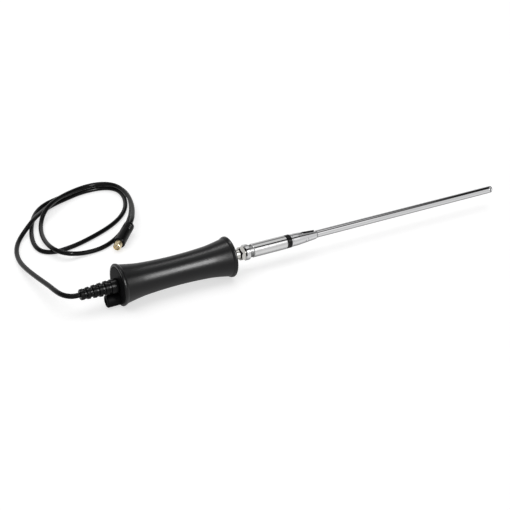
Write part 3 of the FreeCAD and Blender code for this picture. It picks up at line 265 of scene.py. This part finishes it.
@dataclass(frozen=True)
class Finish:
    """A surface: its colour, its gloss and the small changes over it."""

    name: str
    colour: Triple
    shade: Triple
    roughness: float
    roughness_change: float = 0.05
    metallic: float = 0.0
    # Features a metre: of the fine grain along each axis, and of the wide patches
    grain: Triple = even(900.0)
    grain_depth: float = 0.0
    patches: float = 60.0
    specular: float = 0.5
    # Painted shade in a hollow, if the finish has one
    hollow_shade: HollowShade | None = None

    def material(self) -> bpy.types.Material:
        """Make the material.

        Returns:
            A procedural material on Object coordinates.
        """
        made = bpy.data.materials.new(self.name)
        made.use_nodes = True
        board = NodeBoard(made.node_tree)
        place = board.node("TexCoord", {}, {}, "Object")
        patches = board.noise(place, self.patches)
        grain = board.noise(board.stretched(self.grain), 1.0)
        colour = board.blend(patches, self.shade, self.colour)
        change = self.roughness_change
        wear = (grain - NOISE_MEAN) * change + (patches - NOISE_MEAN) * (change * PATCH_SHARE)
        rough = wear + self.roughness
        # Inside the hollow the colour is darkened as painted shade, and the surface is rougher
        if self.hollow_shade:
            inside = self.hollow_shade.inside(board, place)
            dark = tuple(part * self.hollow_shade.colour_left for part in self.shade)
            colour = board.blend(inside, colour, dark)
            rough = rough + inside * HOLLOW_ROUGHNESS
        inputs = {
            "Base Color": colour,
            "Roughness": rough,
            "Metallic": self.metallic,
            "Specular IOR Level": self.specular,
        }
        if self.grain_depth > 0.0:
            inputs["Normal"] = board.node("Bump", {}, {
                "Height": grain, "Strength": BUMP_STRENGTH, "Distance": self.grain_depth,
            })
        surface = board.node("BsdfPrincipled", {}, inputs)
        board.node("OutputMaterial", {}, {"Surface": surface})
        return made


class Look(Enum):
    """The finishes of the probe."""

    GRIP = Finish(
        "grip_satin_black", colour=(0.0065, 0.0065, 0.007), shade=(0.0045, 0.0045, 0.005),
        roughness=0.31, roughness_change=0.04, grain=even(1300.0), grain_depth=0.00006,
        specular=0.28,
    )
    CAP = Finish(
        "cap_satin_black", colour=(0.006, 0.006, 0.0065), shade=(0.004, 0.004, 0.0045),
        roughness=0.55, roughness_change=0.05, grain=even(2600.0), grain_depth=0.000015,
        specular=0.06,
    )
    BOOT = Finish(
        "boot_soft_black", colour=(0.004, 0.004, 0.0042), shade=(0.0028, 0.0028, 0.003),
        roughness=0.24, roughness_change=0.06, grain=even(3000.0), grain_depth=0.000012,
        specular=0.14,
    )
    JACKET = Finish(
        "cord_jacket_black", colour=(0.0035, 0.0035, 0.0038), shade=(0.0025, 0.0025, 0.0028),
        roughness=0.2, roughness_change=0.05, grain=even(2200.0), grain_depth=0.00001,
        specular=0.14,
    )
    PLUG = Finish(
        "cord_plug_black", colour=(0.004, 0.004, 0.0042), shade=(0.0028, 0.0028, 0.003),
        roughness=0.26, roughness_change=0.05, grain=even(2600.0), grain_depth=0.000012,
        specular=0.14,
    )
    CHROME = Finish(
        "mast_chrome", colour=(0.74, 0.74, 0.75), shade=(0.70, 0.70, 0.71), roughness=0.09,
        roughness_change=0.04, metallic=1.0, grain=(60.0, 5000.0, 5000.0), grain_depth=0.000002,
    )
    RING = Finish(
        "coupling_chrome", colour=(0.74, 0.74, 0.74), shade=(0.69, 0.69, 0.69), roughness=0.12,
        roughness_change=0.05, metallic=1.0, grain=(4000.0, 300.0, 300.0), grain_depth=0.000003,
        # Painted shade darkens the groove in front of the ring's lip
        hollow_shade=HollowShade(low=-0.0632, high=-0.0594, half_width=0.02, colour_left=0.3),
    )
    FORK = Finish(
        "fork_chrome", colour=(0.74, 0.74, 0.75), shade=(0.70, 0.70, 0.71), roughness=0.09,
        roughness_change=0.04, metallic=1.0, grain=(60.0, 5000.0, 5000.0), grain_depth=0.000002,
        # Painted shade darkens the fork's slot
        hollow_shade=HollowShade(low=-0.0052, high=0.0101, half_width=0.00201, colour_left=0.12),
    )
    FOOT = Finish(
        "foot_chrome", colour=(0.70, 0.70, 0.71), shade=(0.64, 0.64, 0.65), roughness=0.12,
        roughness_change=0.04, metallic=1.0, grain=(60.0, 5000.0, 5000.0), grain_depth=0.000002,
        # Painted shade darkens a band of the foot
        hollow_shade=HollowShade(low=0.0022, high=0.0104, half_width=0.02, colour_left=0.10),
    )
    NICKEL = Finish(
        "jack_nickel", colour=(0.66, 0.65, 0.62), shade=(0.58, 0.57, 0.54), roughness=0.18,
        roughness_change=0.06, metallic=1.0, grain=(3000.0, 500.0, 500.0), grain_depth=0.000003,
    )
    STEEL = Finish(
        "plain_steel", colour=(0.55, 0.55, 0.55), shade=(0.47, 0.47, 0.47), roughness=0.3,
        roughness_change=0.1, metallic=1.0, grain=even(2000.0), grain_depth=0.000004,
    )
    GOLD = Finish(
        "plug_gold", colour=(0.86, 0.74, 0.49), shade=(0.79, 0.66, 0.41), roughness=0.36,
        roughness_change=0.08, metallic=1.0, grain=even(3000.0), grain_depth=0.000004,
    )
    BRASS = Finish(
        "sleeve_bronze", colour=(0.75, 0.56, 0.28), shade=(0.62, 0.44, 0.20), roughness=0.3,
        roughness_change=0.1, metallic=1.0, grain=even(3000.0), grain_depth=0.000004,
    )
    DARK_STEEL = Finish(
        "blackened_steel", colour=(0.10, 0.10, 0.105), shade=(0.06, 0.06, 0.065), roughness=0.38,
        roughness_change=0.1, metallic=0.9, grain=even(3000.0), grain_depth=0.000004,
    )
    CREAM = Finish(
        "plug_insulator_cream", colour=(0.62, 0.54, 0.38), shade=(0.55, 0.47, 0.32),
        roughness=0.4, roughness_change=0.06, grain=even(2500.0), grain_depth=0.00001,
    )
    PALE = Finish(
        "pale_insulator", colour=(0.80, 0.79, 0.76), shade=(0.74, 0.73, 0.70), roughness=0.45,
        roughness_change=0.06, grain=even(2500.0), grain_depth=0.00001,
    )
    RING_BLACK = Finish(
        "insulator_ring_black", colour=(0.005, 0.005, 0.005), shade=(0.003, 0.003, 0.003),
        roughness=0.2, roughness_change=0.05, grain=(3000.0, 600.0, 600.0), grain_depth=0.000004,
        specular=0.22,
    )
    GASKET = Finish(
        "gasket_red", colour=(0.45, 0.06, 0.04), shade=(0.36, 0.04, 0.03), roughness=0.5,
    )
    BOARD = Finish(
        "board_green", colour=(0.02, 0.15, 0.07), shade=(0.015, 0.11, 0.05), roughness=0.35,
    )
    CHIP = Finish(
        "chip_black", colour=(0.02, 0.02, 0.02), shade=(0.015, 0.015, 0.015), roughness=0.45,
    )
    BLUE = Finish(
        "resistor_blue", colour=(0.08, 0.28, 0.55), shade=(0.06, 0.22, 0.45), roughness=0.25,
    )
    TAN = Finish(
        "capacitor_tan", colour=(0.55, 0.36, 0.18), shade=(0.46, 0.29, 0.14), roughness=0.35,
    )
    RED = Finish(
        "lead_red", colour=(0.45, 0.03, 0.03), shade=(0.36, 0.02, 0.02), roughness=0.4,
    )
    GREY = Finish(
        "carrier_grey", colour=(0.28, 0.28, 0.28), shade=(0.24, 0.24, 0.24), roughness=0.5,
    )


# The finish of each CAD node. The cord has its curve in its place.
NODE_LOOKS: dict[Look, tuple[str, ...]] = {
    Look.GRIP: ("grip_sleeve",),
    Look.CAP: ("rear_cap", "nose_cap"),
    Look.BOOT: ("boot",),
    Look.JACKET: ("cord_tail",),
    Look.PLUG: ("cord_plug_body",),
    Look.CHROME: ("mast_tube_1", "mast_tube_2", "mast_tube_3", "mast_tube_4", "mast_rod",
                  "tip_button", "swivel_post", "elbow_rivet"),
    Look.FORK: ("elbow_fork",),
    Look.FOOT: ("mast_foot",),
    Look.RING: ("bayonet_ring", "plug_barrel"),
    Look.NICKEL: ("jack_body", "jack_nut", "jack_washer", "plug_shell"),
    Look.STEEL: ("core_tube", "cord_ferrule", "shield_can", "spring_washer"),
    Look.GOLD: ("gold_sleeve", "gold_pin", "jack_contact", "plug_pin"),
    Look.DARK_STEEL: ("trimmer_screw",),
    Look.BRASS: ("spring_sleeve_2", "spring_sleeve_3", "spring_sleeve_4", "spring_sleeve_5"),
    Look.CHIP: ("amplifier_chip", "trimmer_body"),
    Look.CREAM: ("gold_insulator",),
    Look.PALE: ("jack_insulator", "plug_insulator"),
    Look.RING_BLACK: ("insulator_ring",),
    Look.GASKET: ("plug_gasket",),
    Look.BOARD: ("circuit_board",),
    Look.BLUE: ("input_resistor",),
    Look.TAN: ("capacitors",),
    Look.RED: ("signal_lead", "cord_core_lead"),
    Look.GREY: ("board_carriers",),
}


# The pieces on the cord's far end
PLUG_PIECES = ("cord_plug_body", "gold_sleeve", "gold_insulator", "gold_pin")


@dataclass
class TurnedPieces:
    """The CAD nodes that keep their own shape: each gets its finish and smooth round walls."""

    nodes: dict[str, bpy.types.Object]
    sharp_angle: float = math.radians(28.0)
    weld: float = 0.000001
    wall_weight: int = 60
    materials: dict[Look, bpy.types.Material] = field(default_factory=dict)

    def material(self, look: Look) -> bpy.types.Material:
        """The material of a finish, made once.

        Args:
            look: which finish.

        Returns:
            Its material.
        """
        if look not in self.materials:
            self.materials[look] = look.value.material()
        return self.materials[look]

    def dress(self) -> None:
        """Give every node its finish."""
        for look, names in NODE_LOOKS.items():
            for name in names:
                node = self.nodes[name]
                node.data.materials.clear()
                node.data.materials.append(self.material(look))
                self._smooth(node)
                log.info("dressed %s as %s", name, look.value.name)

    def _smooth(self, node: bpy.types.Object) -> None:
        """Shade a node's round walls smooth, without a change to its mesh.

        Args:
            node: the CAD node.
        """
        weld = node.modifiers.new("weld", "WELD")
        weld.merge_threshold = self.weld
        split = node.modifiers.new("keep_edges", "EDGE_SPLIT")
        split.split_angle = self.sharp_angle
        walls = node.modifiers.new("even_walls", "WEIGHTED_NORMAL")
        walls.mode = "FACE_AREA_WITH_ANGLE"
        walls.weight = self.wall_weight
        node.data.polygons.foreach_set("use_smooth", [True] * len(node.data.polygons))


@dataclass
class BootBridges:
    """Short bridges in the grooves of the bend relief, a quarter turn on from groove to groove."""

    axis_height: float = 19.25 * MM
    first_groove: float = -200.5 * MM
    pitch: float = 5.5 * MM
    grooves: int = 5
    collar_radius: float = 6.9 * MM
    tail_radius: float = 4.8 * MM
    groove_depth: float = 1.1 * MM
    length: float = 2.5 * MM
    width: float = 2.8 * MM
    height: float = 1.15 * MM
    edge: float = 0.28 * MM
    edge_steps: int = 3
    # Scale of a bridge's top, and how many edge widths down the top is taken to reach
    crown: Triple = (0.9, 0.85, 1.0)
    crown_reach: float = 1.01
    # How far a bridge stands behind its rib's front and reaches into the bend relief
    setback: float = 0.8 * MM
    sunk: float = 0.25 * MM
    sharp_angle: float = math.radians(40.0)

    def build(self, material: bpy.types.Material) -> None:
        """Model one bridge and copy it into every groove.

        Args:
            material: the bend relief's finish.
        """
        pattern = self._pattern(material)
        bridges = []
        for groove in range(self.grooves):
            for side in (0.0, math.pi):
                turn = side + groove % 2 * math.pi / 2
                bridges.append(self._copy(pattern, len(bridges), groove, turn))
        bpy.data.objects.remove(pattern)
        for bridge in bridges:
            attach(bridge, "handle")
        log.info("set %d bridges in the bend relief", len(bridges))

    def _pattern(self, material: bpy.types.Material) -> bpy.types.Object:
        """Model a bridge around the origin, with broken edges and a narrower top.

        Args:
            material: the bend relief's finish.

        Returns:
            The bridge, to be copied.
        """
        bpy.ops.object.select_all(action="DESELECT")
        bpy.ops.mesh.primitive_cube_add(size=1.0)
        pattern = bpy.context.object
        pattern.name = "bridge_pattern"
        bpy.ops.object.mode_set(mode="EDIT")
        bpy.ops.mesh.select_all(action="SELECT")
        bpy.ops.transform.resize(value=(self.length, self.width, self.height))
        bpy.ops.mesh.bevel(offset=self.edge, segments=self.edge_steps, affect="EDGES")
        bpy.ops.mesh.select_all(action="DESELECT")
        bpy.ops.object.mode_set(mode="OBJECT")
        top = self.height / 2 - self.edge * self.crown_reach
        for corner in pattern.data.vertices:
            corner.select = corner.co.z > top
        bpy.ops.object.mode_set(mode="EDIT")
        bpy.ops.transform.resize(value=self.crown)
        bpy.ops.object.mode_set(mode="OBJECT")
        bpy.ops.object.shade_smooth_by_angle(angle=self.sharp_angle)
        pattern.data.materials.append(material)
        return pattern

    def _copy(self, pattern: bpy.types.Object, number: int, groove: int,
              turn: float) -> bpy.types.Object:
        """Put a copy with its own mesh into a groove.

        Args:
            pattern: the bridge to copy.
            number: counts the copies.
            groove: which groove, from the handle.
            turn: its angle about the axis.

        Returns:
            The copy.
        """
        bridge = pattern.copy()
        bridge.data = pattern.data.copy()
        bridge.name = f"boot_bridge_{number}"
        bpy.context.scene.collection.objects.link(bridge)
        share = (groove + 0.5) / self.grooves
        crest = self.collar_radius - (self.collar_radius - self.tail_radius) * share
        reach = crest - self.groove_depth + self.height / 2 - self.sunk
        along = self.first_groove - self.pitch * groove - self.setback
        outward = Vector((0.0, math.sin(turn), math.cos(turn))) * reach
        bridge.location = Vector((along, 0.0, self.axis_height)) + outward
        bridge.rotation_euler = Euler((-turn, 0.0, 0.0))
        bpy.ops.object.select_all(action="DESELECT")
        bridge.select_set(True)
        bpy.context.view_layer.objects.active = bridge
        bpy.ops.object.transform_apply(location=True, rotation=True, scale=True)
        return bridge


@dataclass
class Cord:
    """The coaxial cord: out of the bend relief, twice round in loose loops, and into its plug."""

    diameter: float = 4.6 * MM
    length: float = 1.23
    steps_along: int = 8
    steps_round: int = 6
    # Control points in millimetres, from the bend relief to the plug
    route: tuple[Triple, ...] = (
        (-228.0, 0.0, 19.25),
        (-233.5, 0.0, 19.25),
        (-239.0, 4.6, 19.1),
        (-242.0, 11.5, 18.6),
        (-243.4, 20.5, 17.7),
        (-244.0, 33.5, 15.8),
        (-245.5, 50.0, 13.2),
        (-247.0, 69.5, 10.0),
        (-248.0, 89.5, 6.8),
        (-248.0, 109.0, 4.0),
        (-246.0, 126.5, 2.3),
        (-242.5, 140.5, 2.3),
        (-237.0, 153.5, 2.3),
        (-230.5, 163.5, 3.2),
        (-223.5, 170.5, 5.6),
        (-216.0, 178.0, 7.9),
        (-206.5, 190.5, 7.5),
        (-194.5, 206.5, 4.2),
        (-182.5, 218.5, 2.3),
        (-170.5, 225.0, 2.3),
        (-158.0, 230.0, 2.3),
        (-144.5, 235.5, 2.3),
        (-131.5, 237.5, 2.3),
        (-119.0, 237.0, 2.3),
        (-109.0, 232.5, 2.3),
        (-103.5, 222.0, 2.3),
        (-104.0, 205.5, 2.3),
        (-109.0, 188.0, 2.3),
        (-117.0, 171.5, 2.3),
        (-128.5, 157.0, 2.3),
        (-142.5, 145.0, 2.3),
        (-158.0, 135.5, 2.3),
        (-174.0, 127.5, 2.3),
        (-188.5, 121.5, 2.3),
        (-201.0, 118.5, 2.3),
        (-210.5, 117.5, 2.3),
        (-218.0, 120.5, 2.3),
        (-223.0, 127.0, 2.3),
        (-224.5, 138.5, 2.3),
        (-222.5, 154.0, 2.3),
        (-217.5, 172.5, 2.3),
        (-211.0, 190.0, 2.3),
        (-203.5, 206.0, 2.3),
        (-194.5, 218.0, 2.3),
        (-185.0, 226.5, 2.3),
        (-172.5, 232.5, 2.3),
        (-157.5, 238.0, 2.3),
        (-142.5, 242.5, 2.3),
        (-129.0, 243.5, 2.3),
        (-116.5, 243.0, 2.3),
        (-105.0, 238.5, 2.3),
        (-98.5, 226.5, 2.3),
        (-98.5, 206.5, 2.3),
        (-104.0, 185.0, 2.3),
        (-112.5, 164.5, 2.3),
        (-122.5, 147.0, 2.3),
        (-133.0, 132.5, 2.3),
        (-145.0, 119.5, 2.3),
        (-157.5, 109.0, 2.3),
        (-170.0, 103.0, 2.3),
        (-181.0, 101.5, 2.3),
        (-192.5, 100.5, 3.6),
        (-203.0, 99.5, 6.7),
        (-210.5, 104.5, 8.2),
        (-214.5, 116.5, 7.9),
        (-214.5, 134.5, 5.6),
        (-212.0, 154.5, 3.6),
        (-207.5, 173.0, 2.6),
        (-202.0, 187.0, 3.6),
        (-196.5, 195.5, 7.0),
        (-189.0, 204.0, 9.2),
        (-178.5, 214.5, 9.4),
        (-165.5, 225.0, 8.4),
        (-151.0, 233.0, 7.8),
        (-136.5, 238.0, 7.5),
        (-124.0, 238.5, 7.5),
        (-113.0, 235.0, 7.5),
        (-105.0, 225.5, 7.5),
        (-102.5, 209.5, 7.5),
        (-104.0, 189.0, 7.5),
        (-109.5, 168.0, 7.9),
        (-116.0, 150.5, 8.8),
        (-125.93, 129.34, 10.69),
        (-131.1, 123.3, 9.8),
    )

    def build(self, material: bpy.types.Material,
              on_it: list[bpy.types.Object]) -> None:
        """Lay the cord along its route, as a curve with a round section.

        Args:
            material: the jacket's finish.
            on_it: the pieces of the plug on its far end; not used.
        """
        curve = bpy.data.curves.new("cord_jacket", "CURVE")
        curve.dimensions = "3D"
        curve.resolution_u = self.steps_along
        curve.render_resolution_u = self.steps_along
        curve.bevel_depth = self.diameter / 2
        curve.bevel_resolution = self.steps_round
        curve.use_fill_caps = True
        line = curve.splines.new("NURBS")
        line.points.add(len(self.route) - 1)
        for point, place in zip(line.points, self.route):
            point.co = (*(value * MM for value in place), 1.0)
        line.order_u = 3
        line.use_endpoint_u = True
        cord = bpy.data.objects.new("cord_jacket", curve)
        bpy.context.scene.collection.objects.link(cord)
        curve.materials.append(material)
        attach(cord, "handle")
        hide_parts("cord")
        log.info("laid the cord, %.2f m long", self.length)


@dataclass(frozen=True)
class Lamp:
    """A soft lamp that only draws highlights: its place, lean in degrees, sides and watts."""

    name: str
    place: Triple
    tilt: float
    width: float
    depth: float
    power: float


@dataclass(frozen=True)
class Card:
    """A dark card that only reflections see: its place, sides and darkness along X."""

    name: str
    place: Triple
    size: tuple[float, float]
    stops: Stops


LAMPS = (
    Lamp("overhead_strip", place=(-0.04, 0.30, 1.04), tilt=-16.0, width=0.72, depth=0.22,
         power=3.6),
    Lamp("front_softbox", place=(0.285, -1.075, 0.708), tilt=54.0, width=0.27, depth=0.56,
         power=18.8),
    Lamp("front_softbox_end", place=(0.66, -1.05, 0.743), tilt=54.0, width=0.46, depth=0.40,
         power=0.20),
)
CARDS = (
    Card("ring_card", place=(0.54, -0.50, 0.98), size=(0.50, 0.46),
         stops=((0.0, 0.3), (0.3, 0.95), (1.0, 0.9))),
    Card("far_card", place=(1.10, 0.17, 0.96), size=(1.2, 1.66),
         stops=((0.0, 0.0), (0.14, 0.45), (0.23, 0.75), (0.34, 1.0))),
)


@dataclass
class Studio:
    """Pale floor, soft light and the camera at the photograph's angle."""

    camera_place: Triple = (-0.4552, -0.7225, 0.4548)
    camera_down: float = math.radians(61.89)
    camera_turn: float = math.radians(-28.94)
    lens: float = 70.6
    sensor: float = 36.0
    near: float = 0.01
    far: float = 50.0
    floor_size: float = 16.0
    floor_white: float = 0.95
    # Share of the floor that glows: to the camera, to polished metal and through clear pieces
    glow_seen: float = 0.5
    glow_in_gloss: float = 0.88
    glow_through: float = 0.6
    # How bright that glow is to the camera
    glow_level: float = 1.28
    # How bright it is to polished metal, from under the probe (0) out to both sides (1): a painted
    # shadow under the probe, which only reflections see
    floor_spread: float = 8.0
    floor_shadow_tones: Stops = ((0.0, 0.30), (0.05, 0.36), (0.16, 0.92), (0.5, 0.86), (1.0, 0.72))
    # How bright the sky is, what polished metal sees above that, and the camera
    sky: float = 0.62
    sky_in_gloss: float = 0.22
    sky_seen: float = 1.2
    never_zero: float = 0.001
    card_black: float = 0.01
    sun: float = 1.45
    sun_width: float = math.radians(70.0)
    sun_lean: tuple[float, float] = (math.radians(-8.0), math.radians(-4.0))
    # Tones of the sky over the probe, from the horizon in front (0) to the one behind (1)
    arch_tones: Stops = (
        (0.0, 0.82), (0.12, 0.97), (0.28, 0.92), (0.31, 0.25), (0.37, 0.25), (0.41, 0.90),
        (0.62, 0.92), (0.68, 0.35), (0.78, 0.35), (0.84, 0.97), (1.0, 0.80),
    )
    # Tones of the sky from the middle (0) to straight ahead along the probe (1)
    end_tones: Stops = (
        (0.0, 1.0), (0.70, 1.0), (0.78, 0.40), (0.92, 0.40), (1.0, 0.85),
    )

    def build(self) -> None:
        """Make the camera, the floor, the lamps and the world."""
        self._camera()
        self._floor()
        self._world()
        self._sun()
        for lamp in LAMPS:
            self._hang_lamp(lamp)
        for card in CARDS:
            self._hang_card(card)
        bpy.context.scene.view_settings.view_transform = "Standard"

    def _camera(self) -> None:
        """Place the camera."""
        data = bpy.data.cameras.new("photo_camera")
        data.sensor_width = self.sensor
        data.lens = self.lens
        data.clip_start = self.near
        data.clip_end = self.far
        camera = bpy.data.objects.new("photo_camera", data)
        camera.location = self.camera_place
        camera.rotation_euler = Euler((self.camera_down, 0.0, self.camera_turn))
        bpy.context.scene.collection.objects.link(camera)
        bpy.context.scene.camera = camera

    def _floor(self) -> None:
        """A pale floor that the camera and the metal see as white, with the object's shadow; to
        the metal it also holds a painted shadow under the probe.
        """
        bpy.ops.object.select_all(action="DESELECT")
        bpy.ops.mesh.primitive_plane_add(size=self.floor_size)
        floor = bpy.context.object
        floor.name = "studio_floor"
        made = bpy.data.materials.new("studio_floor")
        made.use_nodes = True
        board = NodeBoard(made.node_tree)
        ray = board.node("LightPath", {}, {}, "Is Camera Ray")
        glossy = board.node("LightPath", {}, {}, "Is Glossy Ray")
        through = board.node("LightPath", {}, {}, "Is Transmission Ray")
        spot = board.node("TexCoord", {}, {}, "Object")
        aside = board.axis(spot, "Y").size() * self.floor_spread
        # Polished metal sees a painted shadow along under the probe
        painted_shadow_in_gloss = board.node("ValToRGB", {"stops": self.floor_shadow_tones}, {0: aside})
        seen = ray * self.glow_seen + glossy * self.glow_in_gloss + through * self.glow_through
        level = ray * self.glow_level + glossy * painted_shadow_in_gloss + through
        matt = board.node("BsdfDiffuse", {}, {"Color": grey(self.floor_white)})
        glow = board.node("Emission", {}, {"Color": WHITE, "Strength": level})
        both = board.node("MixShader", {}, {0: seen, 1: matt, 2: glow})
        board.node("OutputMaterial", {}, {"Surface": both})
        floor.data.materials.append(made)

    def _world(self) -> None:
        """A white tent with dark flags along it, which draw the lines on polished metal."""
        world = bpy.data.worlds.new("studio_sky")
        world.use_nodes = True
        board = NodeBoard(world.node_tree)
        place = board.node("TexCoord", {}, {}, "Generated")
        aside, up = board.axis(place, "Y"), board.axis(place, "Z").size()
        # From -1 at the horizon in front, over 0 at the zenith, to 1 at the horizon behind
        lean = aside / (aside.size() + up + self.never_zero)
        arch = lean * 0.5 + 0.5
        tone = board.node("ValToRGB", {"stops": self.arch_tones}, {0: arch})
        endward = board.axis(place, "X").size()
        ends = board.node("ValToRGB", {"stops": self.end_tones}, {0: endward})
        seen = board.node("LightPath", {}, {}, "Is Camera Ray")
        glossy = board.node("LightPath", {}, {}, "Is Glossy Ray")
        lit = (glossy * self.sky_in_gloss + self.sky) * tone * ends
        strength = lit + seen * self.sky_seen
        sky = board.node("Background", {}, {"Color": WHITE, "Strength": strength})
        board.node("OutputWorld", {}, {"Surface": sky})
        bpy.context.scene.world = world

    def _hang_card(self, card: Card) -> None:
        """Hang a dark card: it draws the dark line along the metal.

        Args:
            card: its sizes, with how dark it is from its low-X edge (0) to its high-X edge (1).
        """
        bpy.ops.object.select_all(action="DESELECT")
        bpy.ops.mesh.primitive_plane_add(size=1.0)
        made_card = bpy.context.object
        made_card.name = card.name
        made_card.location = card.place
        made_card.scale = (*card.size, 1.0)
        made = bpy.data.materials.new(card.name)
        made.use_nodes = True
        board = NodeBoard(made.node_tree)
        spot = board.node("TexCoord", {}, {}, "Object")
        along = board.axis(spot, "X") + 0.5
        dark = board.node("ValToRGB", {"stops": card.stops}, {0: along})
        clear = board.node("BsdfTransparent")
        black = board.node("Emission", {}, {"Color": grey(self.card_black), "Strength": 1.0})
        both = board.node("MixShader", {}, {0: dark, 1: clear, 2: black})
        board.node("OutputMaterial", {}, {"Surface": both})
        made_card.data.materials.append(made)
        made_card.visible_camera = False
        made_card.visible_diffuse = False
        made_card.visible_shadow = False

    def _hang_lamp(self, lamp: Lamp) -> None:
        """Hang a soft lamp.

        Args:
            lamp: its sizes, with the degrees that it leans towards +Y.
        """
        data = bpy.data.lights.new(lamp.name, "AREA")
        data.shape = "RECTANGLE"
        data.size = lamp.width
        data.size_y = lamp.depth
        data.energy = lamp.power
        hung = bpy.data.objects.new(lamp.name, data)
        hung.location = lamp.place
        hung.rotation_euler = Euler((math.radians(lamp.tilt), 0.0, 0.0))
        hung.visible_diffuse = False
        bpy.context.scene.collection.objects.link(hung)

    def _sun(self) -> None:
        """A wide soft sun from above that gives the floor its shadow."""
        data = bpy.data.lights.new("wide_sun", "SUN")
        data.energy = self.sun
        data.angle = self.sun_width
        sun = bpy.data.objects.new("wide_sun", data)
        sun.rotation_euler = Euler((*self.sun_lean, 0.0))
        sun.visible_glossy = False
        bpy.context.scene.collection.objects.link(sun)


def main() -> None:
    """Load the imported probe, dress it and set it in its studio."""
    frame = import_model()
    turned = TurnedPieces(frame["nodes"])
    turned.dress()
    plug = [frame["nodes"][name] for name in PLUG_PIECES]
    Cord().build(turned.material(Look.JACKET), plug)
    BootBridges().build(turned.material(Look.BOOT))
    Studio().build()
    log.info("the probe is dressed")


if __name__ == "__main__":
    main()
